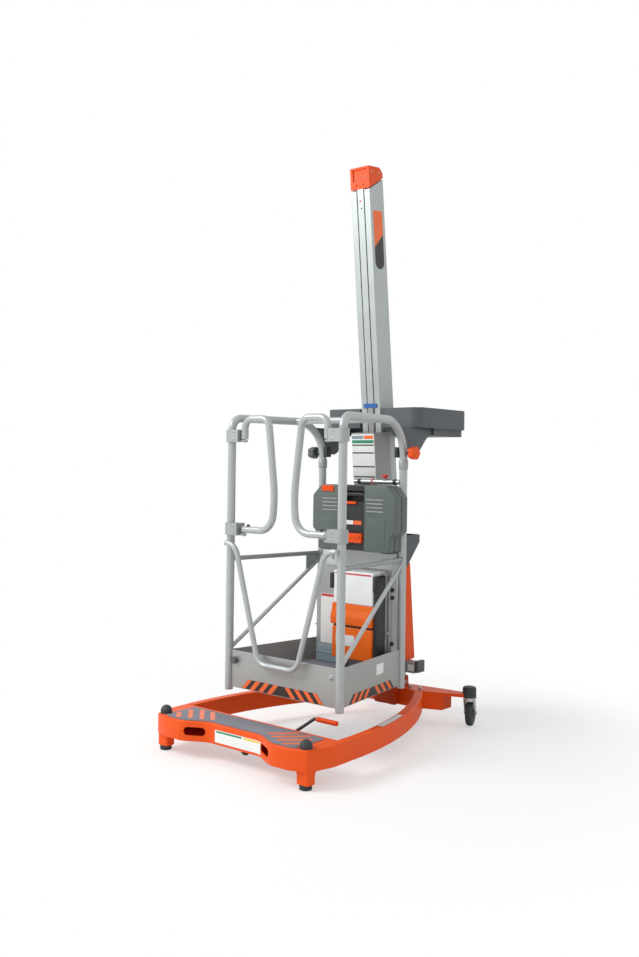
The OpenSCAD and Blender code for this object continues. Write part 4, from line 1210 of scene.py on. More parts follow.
@dataclass
class Jack:
    """The foot lever and the small wheel that it lowers."""

    shop: Workshop
    grip_from: Point = (204.0, FEET_Y + 258.0, 178.0)
    y: float = FEET_Y + 68.0

    def lever(self) -> None:
        """Sweeps the bent lever and the ribbed grip on it."""
        gx, gy, gz = self.grip_from
        shaft = rod((6, LEVER_Y, LEVER_Z), (134, LEVER_Y, LEVER_Z), 7.5)
        bend = rounded([(128, LEVER_Y, LEVER_Z), (gx, gy, gz), (gx + 14, gy, gz)], [0, 9, 0], closed=False,
                       steps=8)
        arm = swept(circle(6.5, 28), bend, (0.0, 0.6, -0.8))
        build("lever_rod", [(shaft + arm, BLACK)], "foot_lever", ("jack_lever",))
        ridge = ((10.0, 4.0), (10.0, 7.8), (8.6, 8.4), (8.6, 11.0))
        profile = [(0.5, 0.0), (8.4, 0.0), (10.0, 1.4)]
        profile += [(r, x + 7.6 * k) for k in range(12) for r, x in ridge]
        grip = turned(profile + [(10.0, 96.0), (10.0, 100.0), (8.6, 102.0), (0.5, 102.0)])
        grip = grip.to(facing_right(gx + 12, gy, gz))
        build("lever_grip", [(grip, ABS_ORANGE)], "foot_lever", ("jack_grip",))

    def wheel(self) -> None:
        """Turns the small wheel and dresses its fork and stem."""
        self.shop.soften("jack_stem", 0.8, ZINC, "bright_steel", 2)
        self.shop.soften("jack_fork", 0.8, ZINC, "bright_steel", 2)
        profile = symmetric([(3.1, -9), (8, -9), (9, -7.5), (15, -7.5), (16, -9), (18.5, -8), (20, -5)])
        wheel = turned(profile, 48, ring=True).to(facing_right(0.0, self.y + 12.0, 52.0))
        build("jack_roller_wheel", [(wheel, TREAD)], "jack_roller", ("jack_wheel",))

    def make(self) -> None:
        """Builds the jack."""
        self.lever()
        self.wheel()


@dataclass
class Mast:
    """The leaning mast: its sections, cap, rear cover and the marks on its side and front."""

    shop: Workshop
    top: float = 2438.0
    cover: float = 88.0

    def sections(self) -> None:
        """Finishes the three extrusions and their pads."""
        self.shop.soften("mast_outer", 1.4, MAST_METAL, "mast_aluminium", 2)
        for node in ("mast_middle", "mast_inner"):
            self.shop.finish_node(node, MAST_METAL)
        for node in ("outer_pads", "middle_pads"):
            self.shop.finish_node(node, BLACK)
        self.shop.soften("glide_pad", 1.2, BLUE, "glide_blue", 2)
        self.shop.soften("mast_cap", 5.0, ABS_ORANGE, "orange_plastic")
        self.shop.soften("mast_rear_cover", 9.0, POWDER, "orange_paint", 4)

    def marks(self) -> None:
        """Puts the plain two-tone pill on the mast's right side and the two dots on its front."""
        low, split, high = 2080.0, 2205.0, 2340.0
        black = rounded([(19, low), (85, low), (85, split + 30), (19, split - 30)], [31, 31, 0.5, 0.5],
                        steps=8)
        orange = rounded([(19, split - 29), (85, split + 31), (85, high), (19, high)], [0.5, 0.5, 6, 6],
                         steps=4)
        pill = [(slab(outline, 0.0, 0.6, 0.15, 1), finish)
                for outline, finish in ((black, LABEL_BLACK), (orange, LABEL_ORANGE))]
        build("mast_badge", placed(pill, MAST_SIDE.at(z=MAST_SIZE / 2)), "base")
        red = slab(rectangle(12.0, 8.0, 3.5), 0.0, 0.5, 0.15, 1).moved(-2, 2385)
        dark = slab(circle(3.6, 20), 0.0, 0.5, 0.15, 1).moved(3, 2352)
        dots = placed([(red, LABEL_RED), (dark, LABEL_BLACK)], MAST_FRONT)
        build("mast_dots", dots, "carriage")

    def cap_details(self) -> None:
        """Adds the screws of the cap and of the rear cover, and the cover's louvres, plate and grips."""
        pins = [screw(MAST_FRONT.at(x, self.top + 52.0, -6.0), 4.5, 3.0) for x in (-28.0, 28.0)]
        pins += [screw(MAST_SIDE.at(y, self.top + 72.0, MAST_SIZE / 2), 4.0, 2.2) for y in (22.0, 78.0)]
        build("cap_screws", [(joined(pins), ZINC)], "carriage")
        back = MAST_BACK.at(z=MAST_SIZE + self.cover)
        slat = slab(rectangle(56.0, 7.0, 3.4), -1.2, 0.5, 0.3, 1)
        slats = [slat.moved(0.0, 560.0 + 15.0 * k) for k in range(7)]
        heads = [screw(back.at(x, z), 4.5, 2.4) for x in (-38.0, 38.0) for z in (264.0, 478.0, 695.0)]
        plate = slab(rectangle(70.0, 44.0, 4.0), 0.0, 0.8, 0.2, 1).moved(0.0, 330.0).to(back)
        build("cover_details", [(joined(slats).to(back), BLACK), (joined(heads), ZINC), (plate, LABEL)],
              "base")
        grips = [slab(rectangle(12.0, 46.0, 5.0), 0.0, 1.6, 0.6, 2).moved(14.0, z) for z in (470.0, 590.0)]
        cheeks = joined(grips).to(MAST_SIDE.at(MAST_SIZE, 0.0, 48.5)).pair()
        build("cover_grips", [(cheeks, GRAPHITE)], "base")

    def make(self) -> None:
        """Builds the mast."""
        self.sections()
        self.marks()
        self.cap_details()


@dataclass
class Carriage:
    """What carries the platform up the mast: head, plate, lower box, power pack and control bar."""

    shop: Workshop
    head_reach: float = 72.0

    def metalwork(self) -> None:
        """Dresses the folded steel of the carriage."""
        self.shop.soften("carriage_head", 1.6, GREY_PAINT, "bright_steel", 2)
        self.shop.soften("carriage_arms", 1.5, GREY_PAINT, "bright_steel", 2)
        self.shop.soften("carriage_box", 3.5, SHEET, "frame_aluminium")
        # the cross panel in the lightened copy of the grey enamel: painted light against its shade
        self.shop.soften("cross_panel", 4.0, ENAMEL_PAINTED_LIGHT, "bright_steel")
        self.shop.soften("side_wings", 4.0, GRAPHITE, "graphite_plastic")
        heads = [screw(facing_front(x, BOX_FRONT, z), 4.5, 2.4) for x in (-178.0, 178.0)
                 for z in (250.0, 480.0, 708.0)]
        heads += [bolt(facing_front(x, REAR_POST_Y - 14.0, 761.0), 12.0, 5.0) for x in (-150.0, 150.0)]
        build("carriage_screws", [(joined(heads), ZINC)], "carriage")

    def plate(self) -> None:
        """Draws the blank instruction plate: white ground, dark rules, green header and two tags."""
        low, high = 1136.0, 1339.0
        ground = slab(rectangle(128.0, high - low, 4.0), 0.0, 1.8, 0.4, 2).moved(0.0, (low + high) / 2)
        rows = [(122.0, 6.0, 0.6, 0.0, z, LABEL_BLACK) for z in (1290.0, 1255.0, 1192.0, 1146.0)]
        rows += [(122.0, 14.0, 0.8, 0.0, 1306.0, LABEL_GREEN), (66.0, 15.0, 0.8, -28.0, 1326.0, BLUE_GREY),
                 (52.0, 15.0, 0.8, 34.0, 1326.0, LABEL_ORANGE)]
        strips = [(slab(rectangle(width, height, corner, 2), 1.7, 2.0, 0.1, 1).moved(x, z), finish)
                  for width, height, corner, x, z, finish in rows]
        build("guide_plate", placed([(ground, LABEL)] + strips, MAST_FRONT.at(z=self.head_reach)), "carriage",
              ("instruction_plate",))

    def box_signs(self) -> None:
        """Puts a blank white sign with a red header on the lower box, and its blue-grey panel."""
        x0, x1, z0, z1, header = -164.0, -74.0, 376.0, 600.0, 12.0
        at = facing_front((x0 + x1) / 2, BOX_FRONT, (z0 + z1) / 2)
        white = slab(rectangle(x1 - x0, z1 - z0, 4.0), 0.0, 0.8, 0.2, 1)
        strip = slab(rectangle(x1 - x0 - 4, header, 1.0, 2), 0.7, 1.0, 0.1, 1)
        strip = strip.moved(0.0, (z1 - z0) / 2 - header / 2 - 2)
        build("box_signs", placed([(white, LABEL), (strip, LABEL_RED)], at), "carriage")
        lower = block((-182.0, BOX_FRONT - 9.0, 292.0), (-6.0, BOX_FRONT, 368.0), 4.0, 1.5)
        ledge = block((-182.0, BOX_FRONT - 12.0, 330.0), (-6.0, BOX_FRONT, 336.0), 4.0, 1.5)
        build("battery_door", [(lower + ledge, BLUE_GREY)], "carriage")

    def power_pack(self) -> None:
        """Builds the power pack, a body and a lid with a grip ledge and the seam between them, and
        the white housing above it with its strip and catches."""
        left, right, low = -45.0, 180.0, 336.0
        y0 = BOX_FRONT - 72.0
        body = block((left, y0, low), (right, BOX_FRONT, 474.0), 12.0, 5.0)
        neck = block((left + 4, y0 + 5, 470.0), (right - 4, BOX_FRONT, 488.0), 10.0, 2.0)
        lid_outline = rounded([(y0 - 8, 484), (y0 - 8, 520), (y0 + 1, 548), (y0 + 4, 575), (BOX_FRONT, 575),
                               (BOX_FRONT, 484)], [4, 8, 10, 5, 0.5, 0.5], steps=5)
        lid = slab(lid_outline, 0.0, right - left, 3.0, 4).to(facing_right(left, 0.0, 0.0))
        ridges = joined([block((left + 10, y0 - 9.5, z), (right - 10, y0 - 4, z + 4.0), 2.0, 1.0)
                         for z in (492.0, 501.0)])
        window = block((left + 26, y0 - 1.2, 392.0), (right - 96, y0 + 4, 440.0), 3.0, 0.5)
        build("pack_shell", [(body + lid + ridges, ABS_PACK), (neck, BLACK), (window, LABEL)],
              "carriage", ("power_pack",))
        panel = block((left + 4, y0 + 6, 576.0), (right - 2, BOX_FRONT, 718.0), 8.0, 3.5)
        stripe = block((left + 14, y0 + 5.2, 704.0), (right - 12, y0 + 6.4, 711.0), 1.0, 0.3)
        build("pack_housing", [(panel, PANEL), (stripe, LABEL_RED)], "carriage")
        strip = block((right, y0 + 6, low - 6), (right + 20, BOX_FRONT, 706.0), 5.0, 2.5)
        catches = [block((x, y0, 638.0), (x + 20, BOX_FRONT, 706.0), 5.0, 3.0)
                   for x in (right - 1, left - 13)]
        build("pack_catches", [(joined([strip] + catches), BLACK)], "carriage",
              ("pack_latches",))

    def frames(self) -> None:
        """Adds the light upright frames at the box's sides, with their black knobs."""
        x = 196.0
        post = slab(rectangle(10.0, 18.0, 2.0), 300.0, 700.0, 1.0).moved(x, BOX_FRONT + 34.0)
        rail = block((x - 2, BOX_FRONT + 4, 450.0), (x + 4, BOX_FRONT + 48, 458.0), 2.0, 1.0)
        knob = turned([(0.5, 0.0), (8.5, 0.0), (9.5, 1.5), (9.5, 8.0), (8.0, 10.0), (0.5, 10.0)], 24)
        knobs = joined([knob.to(facing_right(x + 5, BOX_FRONT + 40.0, z)) for z in (406.0, 607.0, 641.0)])
        build("box_frames", [((post + rail).pair(), SHEET), (knobs.pair(), BLACK)], "carriage")

    def controls(self) -> None:
        """Dresses the control bar and adds its clamps and ring and the stop button."""
        y, z = REAR_POST_Y - 12.0, 1112.0
        self.shop.soften("control_bar", 0.8, ZINC, "bright_steel", 2)
        clamps = joined([swept(circle(12.5), np.array([(x, y, z), (x + 18.0, y, z)]), (0, 0, 1), 1.5)
                         for x in (-8.0, 186.0)])
        ring = turned([(11, -4), (15, -3), (16, 0), (15, 3), (11, 4)], 40, ring=True)
        build("bar_clamps", [(clamps, BLACK), (ring.to(facing_right(72.0, y, z)), PINK)], "carriage")
        turn = np.linspace(0.2, 1.45, 8)
        head = [(17.0 * math.cos(a), 15.0 + 9.0 * math.sin(a)) for a in turn]
        button = turned([(0.5, 0.0), (9.0, 0.0), (9.0, 11.0), (15.5, 12.5), (17.0, 14.5)] + head)
        collar = turned([(0.5, -1.0), (13.0, -1.0), (14.0, 0.5), (14.0, 3.5), (13.0, 5.0), (0.5, 5.0)])
        parts = placed([(button, RED), (collar, GREY_PAINT)], Axes((140.0, y, z + 9.0)))
        build("stop_control", parts, "carriage", ("stop_button",))

    def make(self) -> None:
        """Builds the carriage."""
        self.metalwork()
        self.plate()
        self.box_signs()
        self.power_pack()
        self.frames()
        self.controls()


@dataclass
class Platform:
    """The platform: deck, toe boards, side hoops, rails, braces, entry bar and hinge clamps."""

    shop: Workshop
    front_bend: float = 48.0
    toe_top: float = 384.0
    mid_z: float = 775.0

    def floor(self) -> None:
        """Dresses the deck and the toe boards and puts the stripes on them."""
        self.shop.soften("deck", 1.5, MAT, "step_grip", 2)
        self.shop.soften("toe_board_front", 1.2, SHEET, "frame_aluminium", 2)
        self.shop.soften("toe_boards_side", 1.2, SHEET, "frame_aluminium", 2)
        ground, bars = striped(-226.0, 226.0, 229.0, 270.0, 36.0, 50.0, 36.0)
        band = placed([(ground, LABEL_BLACK), (bars, LABEL_ORANGE)], facing_front(0.0, POST_Y - 2.0, 0.0))
        build("front_stripes", band, "carriage")
        side = SIDE_FACE.at(z=2.0)
        ground, bars = striped(70.0, 460.0, 229.0, 266.0, 34.0, 50.0, 34.0)
        build("side_stripes", [(ground.to(side).pair(), LABEL_BLACK), (bars.to(side).pair(), LABEL_ORANGE)],
              "carriage")
        sign = slab(rectangle(62.0, 44.0, 4.0), 0.0, 0.7, 0.2, 1).moved(330.0, 330.0).to(side)
        build("toe_signs", [(sign.pair(), LABEL)], "carriage")

    def hoops(self) -> None:
        """Sweeps the two hoops that are post, top rail and post in one tube."""
        rise = RAIL_Z - POST_BOTTOM
        rows = [(rise - self.front_bend, 0.0), (self.front_bend, -90.0),
                (SIDE_LEN - self.front_bend - REAR_BEND, 0.0), (REAR_BEND, -90.0), (rise - REAR_BEND, 0.0)]
        path = upright(bent_path(rows, (0.0, POST_BOTTOM), 90.0))
        hoop = tube(path, POST_R, (0.0, 1.0, 0.0)).to(ON_SIDE)
        plug = rod((0, 0, POST_BOTTOM - 0.2), (0, 0, POST_BOTTOM + 3), POST_R - 2.5).to(ON_SIDE)
        sleeve = turned([(POST_R - 1, -46), (POST_R + 2, -46), (POST_R + 3, -44), (POST_R + 3, -8),
                         (POST_R + 2, -6), (POST_R - 1, -6)], ring=True)
        sleeve = sleeve.to(Axes(ON_SIDE.at(SIDE_LEN, 0.0, RAIL_Z - REAR_BEND).origin))
        parts = [(hoop, TUBE), (sleeve, CAST_GREY), (plug, BLACK)]
        for side in ("right", "left"):
            build(f"hoop_tube_{side}", handed(parts, side), "carriage",
                  (f"side_hoop_{side}",))

    def rails(self) -> None:
        """Sweeps the mid rails, braces and rear cross tube and adds gussets and weld beads."""
        gap = POST_R - 1.5
        mid = rod((gap, 0, self.mid_z), (SIDE_LEN - gap, 0, self.mid_z), 10.0).to(ON_SIDE)
        ends = [ON_SIDE.at(x, 0.0, self.mid_z).origin for x in (POST_R - 0.5, SIDE_LEN - POST_R + 0.5)]
        welds = joined([weld(Axes(end, x=(0.0, 0.0, 1.0), z=SIDE_DIRECTION), 10.4) for end in ends])
        build("mid_rail_tubes", [(mid.pair(), TUBE_DARK), (welds.pair(), TUBE_DARK)], "carriage",
              ("mid_rails",))
        a, b = np.array([0.0, 0.0, self.toe_top + 2]), np.array([SIDE_LEN, 0.0, self.mid_z - 18.0])
        way = unit(b - a)
        cut = (POST_R - 2.0) / way[0]
        brace = rod(tuple(a + way * cut), tuple(b - way * cut), 9.0).to(ON_SIDE)
        outer, inner, top = SIDE_LEN - 95.0, SIDE_LEN - POST_R + 1, self.mid_z - 5
        low = b[2] - (b[2] - a[2]) * np.array([SIDE_LEN - outer, POST_R]) / SIDE_LEN
        plate = np.array([(outer, low[0]), (inner, low[1]), (inner, top), (outer, top)])
        gusset = slab(plate, -2.0, 2.0, 0.5, 1).to(SIDE_FACE)
        build("brace_tubes", [(brace.pair(), TUBE), (gusset.pair(), TUBE_DARK)], "carriage",
              ("side_braces",))
        y = REAR_POST_Y - REAR_BEND - 8.0
        half = POST_X + (REAR_POST_X - POST_X) * (y - POST_Y) / (REAR_POST_Y - POST_Y) - POST_R + 1.0
        cross = rod((-half, y, RAIL_Z), (half, y, RAIL_Z), 14.0)
        bead = weld(Axes((half - 1.0, y, RAIL_Z), x=(0, 0, 1), z=(1, 0, 0)), 14.3)
        build("rear_cross_rail", [(cross + bead.pair(), TUBE)], "carriage",
              ("rear_cross_tube",))

    def entry_bar(self) -> None:
        """Sweeps the V-shaped entry bar in front of the posts."""
        radius, slope, bend, flat, low = 11.5, 74.0, 60.0, 60.0, 350.0
        sine, cosine = math.sin(math.radians(slope)), math.cos(math.radians(slope))
        leg = (HINGES_Z[0] - 60 - low - 2 * bend * (1 - cosine)) / sine
        side = POST_X + 2 - flat - 2 * bend * sine - leg * cosine
        half = bent_path([(flat, 0.0), (bend, slope), (leg, 0.0), (bend, -slope), (side, 0.0)], (0.0, low))
        whole = np.vstack([half[::-1] * np.array([-1.0, 1.0]), half[1:]])
        y = POST_Y - POST_R - radius - 3
        bar = tube(upright(whole, y), radius, (0.0, 1.0, 0.0), 2.5)
        boss = rod((POST_X - 9, y, half[-1][1]), (POST_X - 9, POST_Y - POST_R + 4, half[-1][1]), radius - 2)
        build("entry_bar_tube", [(bar + boss.pair(), TUBE)], "carriage", ("entry_bar",))

    def clamps(self) -> None:
        """Dresses the hinge clamps on the front posts and adds their screws, and the knob and the
        bolt at the toe board's corners."""
        self.shop.soften("gate_clamps", 2.2, CAST_GREY, "bright_steel")
        heads = [screw(facing_front(272.0, POST_Y - 25.5, z + dz), 5.0, 3.0) for z in HINGES_Z
                 for dz in (-15.0, 15.0)]
        build("clamp_screws", [(joined(heads).pair(), ZINC)], "carriage")
        knob = turned([(0.5, 0.0), (5.0, 0.0), (5.0, 5.0), (13.0, 6.0), (15.0, 8.0), (15.0, 15.0),
                       (13.0, 18.0), (0.5, 18.5)], 30).to(facing_front(-262.0, POST_Y - 2.0, 344.0))
        right = bolt(facing_front(262.0, POST_Y - 2.0, 344.0), 13.0, 5.0)
        build("corner_knobs", [(knob, GRAPHITE), (right, ZINC)], "carriage")

    def make(self) -> None:
        """Builds the platform."""
        self.floor()
        self.hoops()
        self.rails()
        self.entry_bar()
        self.clamps()


@dataclass
class ToolCase:
    """The removable tool case: two shells, ridged side blocks, sunk handle and orange latches."""

    width: float = 462.0
    depth: float = 92.0
    height: float = 290.0
    x: float = 36.0
    z: float = 806.0

    def outline(self, grow: float = 0.0) -> np.ndarray:
        """Returns the case's outline with rounded corners over a narrower foot, let out by grow."""
        w, h = self.width / 2, self.height
        line = rounded([(-w + 34, 0), (w - 34, 0), (w - 34, 62), (w, 94), (w, h - 48), (w - 48, h),
                        (-w + 48, h), (-w, h - 48), (-w, 94), (-w + 34, 62)],
                       [10, 10, 12, 14, 14, 14, 14, 14, 14, 12], steps=5)
        return inset(line, -grow) if grow else line

    def side_block(self, inner: float) -> np.ndarray:
        """Returns the part of the outline that lies to the right of a line at x = inner."""
        w, h = self.width / 2, self.height
        return rounded([(inner, 0), (w - 34, 0), (w - 34, 62), (w, 94), (w, h - 48), (w - 48, h),
                        (inner, h)], [4, 10, 12, 14, 14, 14, 4], steps=5)

    def make(self) -> None:
        """Builds the case."""
        w, h = self.width / 2, self.height
        y = REAR_POST_Y - POST_R - self.depth - 0.3
        at = facing_front(self.x, y, self.z)
        # the front shell is in two blocks beside the sunk middle; depth runs to the rear as minus Z
        near, far = -w + 165.0, -w + 290.0
        centre, span, split = (near + far) / 2, far - near + 8, -self.depth / 2
        back = slab(self.outline(), -self.depth, split - 1.5, 6.0, 4)
        waist = slab(self.outline(-2.0), split - 2.0, split + 2.0, 0.2, 1)
        left = slab(self.side_block(-near), split + 1.5, 0.0, 6.0, 4).mirrored()
        right = slab(self.side_block(far), split + 1.5, 0.0, 6.0, 4)
        core = slab(rectangle(span, h - 76, 4.0), split + 1.5, -17.0, 2.0).moved(centre, (h - 76) / 2 + 2)
        brow = slab(rectangle(span, 24.0, 4.0), split + 1.5, -3.0, 2.0).moved(centre, h - 13)
        ridges, panels = [], []
        for start, end in ((-w + 58.0, near - 22.0), (far + 16.0, far + 106.0)):
            strip = slab(rectangle(end - start, 4.4, 2.1, 4), -0.5, 2.2, 0.9, 3)
            ridges += [strip.moved((start + end) / 2, h - 62.0 - 17.0 * k) for k in range(4)]
        for start, end in ((-w + 52.0, near - 12.0), (far + 12.0, w - 56.0)):
            panel = slab(rectangle(end - start, 128.0, 8.0), -0.5, 1.4, 0.7, 2)
            panels.append(panel.moved((start + end) / 2, 84.0))
        grip = rounded([(near - 4, h - 58, -20), (near + 6, h - 40, -12), (far - 6, h - 40, -12),
                        (far + 4, h - 58, -20)], [0, 10, 10, 0], closed=False)
        handle = tube(grip, 9.5, (0.0, 0.3, 1.0))
        feet = [block((x0, -5.0, -70.0), (x0 + 38.0, 3.0, -22.0), 6.0, 2.0) for x0 in (-w + 46.0, w - 88.0)]
        shell = [(joined([back, left, right] + panels), CASE), (waist + core + brow + handle, BLACK),
                 (joined(ridges), SHEET), (joined(feet), GRAPHITE)]
        build("tool_case_shell", placed(shell, at), "carriage", ("tool_case",))
        # the middle latch and its lip, the latch at the upper left and the bar under the handle
        rows = ((111.0, 42.0, 6.0, -w + 227.5, 57.0, -16.0, 5.0, 2.5),
                (95.0, 16.0, 5.0, -w + 227.5, 64.0, 4.0, 9.0, 2.0),
                (68.0, 27.0, 5.0, -w + 90.0, h - 16.5, -6.0, 5.0, 2.5),
                (70.0, 12.0, 4.0, -w + 208.0, h - 78.0, -15.0, -6.0, 2.0))
        latches = [slab(rectangle(width, height, corner), low, high, fillet).moved(x, z)
                   for width, height, corner, x, z, low, high, fillet in rows]
        tag = slab(rectangle(44.0, 18.0, 3.0), -17.2, -16.0, 0.2, 1)
        parts = [(joined(latches), ABS_ORANGE), (tag.moved(-w + 200, 124.0), LABEL),
                 (tag.moved(-w + 246, 124.0), LABEL_ORANGE)]
        build("case_latch_set", placed(parts, at), "carriage", ("case_latches",))


@dataclass
class WorkTray:
    """The work tray on its swept brackets: a rim with a rolled lip, a deep bin and clamp knobs."""

    shop: Workshop
    half: float = 265.0
    front: float = FEET_Y + 872.0
    rear: float = FEET_Y + 1290.0
    top: float = 1445.0
    low: float = 1355.0

    def make(self) -> None:
        """Builds the tray's details around its solids."""
        self.shop.soften("work_tray", 4.0, GRAPHITE, "graphite_plastic")
        roll = 4.5
        side, back, z = self.half - roll, self.rear - roll, self.top - 3.5
        lip_path = rounded([(side, self.front + 30, z), (side, back, z), (-side, back, z),
                            (-side, self.front + 30, z)], [0, 43, 43, 0], closed=False, steps=10)
        lip = tube(lip_path, roll, (0.0, 0.0, 1.0))
        hump = turned([(0.5, 0.0), (26.0, 0.0), (26.0, 4.0), (23.0, 12.0), (15.0, 17.0), (0.5, 18.5)], 36)
        place = Axes((34.0, self.rear - 150.0, self.top - 45.0))
        build("tray_lip", [(lip, GRAPHITE), (hump.to(place), BLACK)], "carriage")
        self.brackets()
        self.knobs()

    def brackets(self) -> None:
        """Builds the swept brackets, whose front edges keep to the bend of the rear posts, and the
        block inside each post that its knob draws up.

        At a height z above the bend's start the post's rear surface, of radius r, has moved
        forwards by r - sqrt(r^2 - z^2).
        """
        surface = POST_R / SIDE_DIRECTION[1] + 0.3
        bend, low, swept_to = REAR_BEND + surface, 1233.0, 1323.0
        z = np.linspace(self.low, low, 14)
        away = bend - np.sqrt(bend ** 2 - np.clip(z - RAIL_Z + REAR_BEND, 0.0, None) ** 2)
        y0 = REAR_POST_Y + surface
        share = np.linspace(0.0, 1.0, 14)
        rise = (swept_to - low) * np.sin(0.5 * np.pi * share) ** 2
        under = np.stack([y0 + 60 + 130 * share, low + rise], -1)
        back = MAST_Y - self.low * math.tan(LEAN) + MAST_SIZE / math.cos(LEAN) + 38.0
        outline = np.vstack([np.stack([y0 - away, z], -1), under, [(back, swept_to), (back, self.low)]])
        plate = slab(outline, -3.0, 5.0, 2.0).to(facing_right(REAR_POST_X, 0.0, 0.0))
        build("tray_bracket_plates", [(plate.pair(), GRAPHITE)], "carriage",
              ("tray_brackets",))
        inside = REAR_POST_X - surface - 1.0
        shoe = block((inside - 20.0, REAR_POST_Y - 18, 1220.0), (inside, REAR_POST_Y + 16, 1266.0), 5.0, 3.0)
        build("clamp_shoe", [(shoe.pair(), BLACK)], "carriage")

    def knobs(self, z: float = 1240.0) -> None:
        """Turns the five-lobed clamp knobs: the radius swells with the cosine of five times the angle."""
        away = REAR_BEND - math.sqrt(REAR_BEND ** 2 - max(0.0, z - RAIL_Z + REAR_BEND) ** 2)
        cosine, sine = -SIDE_DIRECTION[0], SIDE_DIRECTION[1]
        at = facing_right(REAR_POST_X + away * cosine + POST_R / sine + 0.6, REAR_POST_Y - away, z)
        turn = np.linspace(0, 2 * np.pi, 80, endpoint=False)
        lobes = 27.0 * (1 + 0.07 * np.cos(5 * turn))
        knob = slab(lobes[:, None] * ways(turn), 19.0, 53.0, 5.0, 4).to(at)
        stem = turned([(0.5, 0.4), (8.0, 0.4), (8.0, 14.0), (12.0, 15.0), (12.0, 20.0), (0.5, 20.0)], 30)
        build("clamp_knobs", [(knob, ABS_ORANGE), (knob.mirrored(), GRAPHITE), (stem.to(at).pair(), BLACK)],
              "carriage", ("tray_knobs",))


@dataclass
class Gate:
    """One swing gate: a bent tube between two hinge pins.

    Args:
        side: "right" or "left".
    """

    side: str
    x: float = 228.0
    low: float = HINGES_Z[0]
    high: float = 1375.0
    radius: float = 15.0
    start: float = 1288.0

    def path(self) -> np.ndarray:
        """Follows the gate's tube from its upper hinge round to its lower one."""
        top_bend, low_bend, lean, bow, top_run = 42.0, 75.0, math.radians(7.0), 600.0, 56.0
        sine, cosine = math.sin(lean), math.cos(lean)
        straight = (self.high - self.low - (1 - sine) * (top_bend + low_bend) - 2 * bow * sine) / cosine
        low_run = top_bend * (1 + cosine) + top_run + straight * sine - low_bend * cosine
        rows = [(self.high - top_bend - self.start, 0.0), (top_bend, 90.0), (top_run, 0.0), (top_bend, 83.0),
                (straight, 0.0), (bow, 14.0), (low_bend, 83.0), (low_run, 0.0)]
        return upright(bent_path(rows, (self.x, self.start), 90.0), POST_Y)

    def make(self) -> None:
        """Builds the gate."""
        frame = tube(self.path(), self.radius, (0.0, 1.0, 0.0), 2.0)
        sleeve = turned(symmetric([(0.5, -11.0), (9.5, -11.0), (11.0, -9.5)]), 32)
        pins = [sleeve.to(Axes((self.x, POST_Y, self.low)))]
        pins += [rod((self.x, POST_Y, z - 29.0), (self.x, POST_Y, z - 29.0 + length), 5.0, 0.8, 24)
                 for z, length in zip(HINGES_Z, (26.0, 18.0))]
        stop = turned([(0.5, 0.0), (6.0, 0.0), (7.0, 1.0), (7.0, 7.0), (5.5, 8.5), (0.5, 8.5)], 24)
        stop = stop.to(Axes((self.x - 26.0, POST_Y, self.low + self.radius - 1.0)))
        parts = handed([(frame, TUBE), (joined(pins), ZINC), (stop, BLACK)], self.side)
        build(f"gate_{self.side}_tube", parts, f"{self.side}_gate", (f"gate_{self.side}",))


# Studio


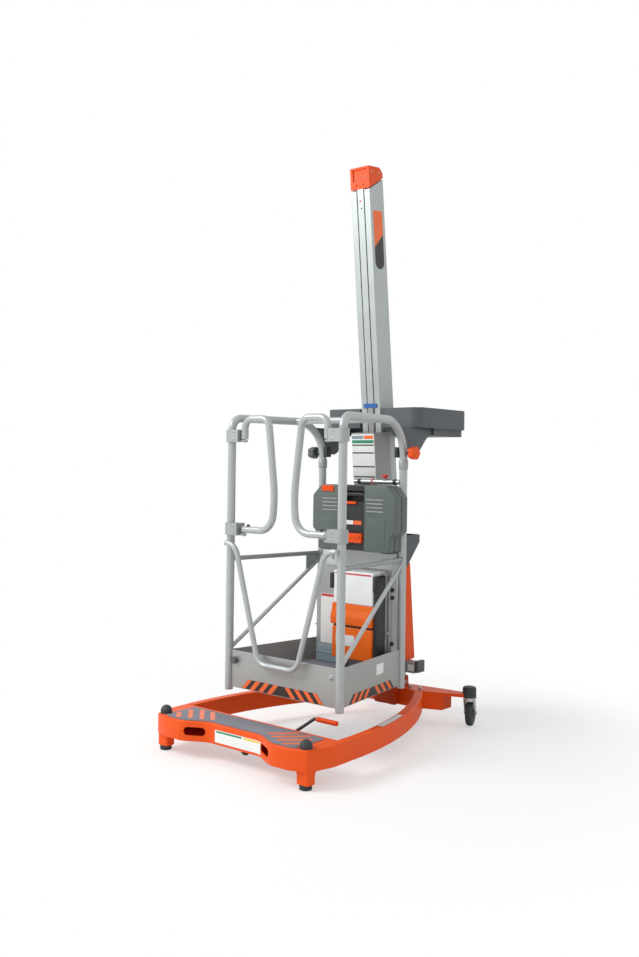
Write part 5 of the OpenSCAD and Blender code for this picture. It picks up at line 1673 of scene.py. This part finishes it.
@dataclass
class Studio:
    """Pale floor, soft light and the camera at the photograph's angle."""

    camera_at: Point = (2.696, -3.355, 1.185)
    turn: float = 39.67
    roll: float = 0.79
    lens: float = 37.02
    shift_y: float = -0.0146
    sky: float = 0.65
    haze: float = 0.45
    fade: tuple[float, float] = (0.9, 1.8)
    lamps: tuple[tuple[Point, float, float], ...] = (
        ((-2.6, -3.6, 4.2), 2.6, 200.0),
        ((3.4, 1.0, 3.6), 2.4, 8.0),
    )

    def floor(self) -> None:
        """Lays a wide disc of pale floor, finely mottled, which the camera sees run out into the
        white of the sky: a thin haze of white lies over it, and from one distance to another it
        takes over."""
        mesh = mesh_of("floor", slab(circle(9000.0, 96), -12.0, -0.3, 1.0, 1))
        material = Finish("studio_floor", "#FBFBFA", 0.9, 8.0, 0.02, cloud=0.004).material()
        tree = material.node_tree
        place = add_node(tree, "ShaderNodeTexCoord").outputs["Object"]
        away = add_node(tree, "ShaderNodeVectorMath", {0: place}, operation="LENGTH").outputs["Value"]
        share = ranged(tree, away, self.fade, (self.haze, 1.0), interpolation_type="SMOOTHSTEP")
        camera_ray = add_node(tree, "ShaderNodeLightPath").outputs["Is Camera Ray"]
        seen = add_node(tree, "ShaderNodeMath", {0: share, 1: camera_ray}, operation="MULTIPLY")
        glow = add_node(tree, "ShaderNodeEmission", {"Color": (1.0, 1.0, 1.0, 1.0), "Strength": 1.0})
        blend = add_node(tree, "ShaderNodeMixShader", {0: seen.outputs[0], 2: glow.outputs[0],
                                                       1: tree.nodes["Principled BSDF"].outputs[0]})
        tree.links.new(blend.outputs[0], tree.nodes["Material Output"].inputs["Surface"])
        mesh.materials.append(material)
        ground = linked("floor", mesh)

    def world(self) -> None:
        """Sets an even sky that the camera and reflections see as white."""
        world = bpy.data.worlds.new("studio_sky")
        bpy.context.scene.world = world
        world.use_nodes = True
        tree = world.node_tree
        tree.nodes.clear()
        rays = add_node(tree, "ShaderNodeLightPath").outputs
        seen = rays["Is Camera Ray"]
        for kind in ("Is Glossy Ray", "Is Transmission Ray"):
            seen = add_node(tree, "ShaderNodeMath", {0: seen, 1: rays[kind]}, operation="MAXIMUM").outputs[0]
        level = ranged(tree, seen, (0.0, 1.0), (self.sky, 1.0))
        sky = add_node(tree, "ShaderNodeBackground", {"Color": linear("#FFFFFF"), "Strength": level})
        add_node(tree, "ShaderNodeOutputWorld", {"Surface": sky.outputs[0]})

    def light(self) -> None:
        """Hangs the soft boxes, each aimed at the machine's middle."""
        for k, (at, size, power) in enumerate(self.lamps):
            lamp = bpy.data.lights.new(f"soft_box_{k}", "AREA")
            lamp.size, lamp.energy = size, power
            holder = linked(lamp.name, lamp)
            holder.location = at
            holder.rotation_euler = (Vector((0.0, 0.0, 0.9)) - Vector(at)).to_track_quat("-Z", "Y").to_euler()

    def camera(self) -> None:
        """Stands the level camera where the photograph was taken, with its small roll."""
        lens = bpy.data.cameras.new("camera")
        lens.lens, lens.sensor_fit, lens.sensor_height = self.lens, "VERTICAL", 36.0
        lens.shift_y = self.shift_y
        eye = linked("camera", lens)
        aim = Matrix.Rotation(math.radians(self.turn), 4, "Z") @ Matrix.Rotation(math.pi / 2, 4, "X")
        eye.matrix_world = (Matrix.Translation(self.camera_at) @ aim
                            @ Matrix.Rotation(math.radians(self.roll), 4, "Z"))
        bpy.context.scene.camera = eye

    def make(self) -> None:
        """Sets the studio up."""
        self.floor()
        self.world()
        self.light()
        self.camera()
        bpy.context.scene.view_settings.view_transform = "Standard"


def main() -> None:
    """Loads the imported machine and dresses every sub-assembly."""
    logging.basicConfig(level=logging.INFO, format="%(message)s")
    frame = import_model()
    body_of = {node: body for body, nodes in frame["record"]["behaviour"]["bodies"].items() for node in nodes}
    shop = Workshop(frame["nodes"], body_of)
    Studio().make()
    Base(shop).make()
    Caster(shop, "right", 20.0).make()
    Caster(shop, "left", -12.0).make()
    Jack(shop).make()
    Mast(shop).make()
    Carriage(shop).make()
    Platform(shop).make()
    ToolCase().make()
    WorkTray(shop).make()
    Gate("right").make()
    Gate("left").make()
    bpy.context.view_layer.update()


if __name__ == "__main__":
    main()
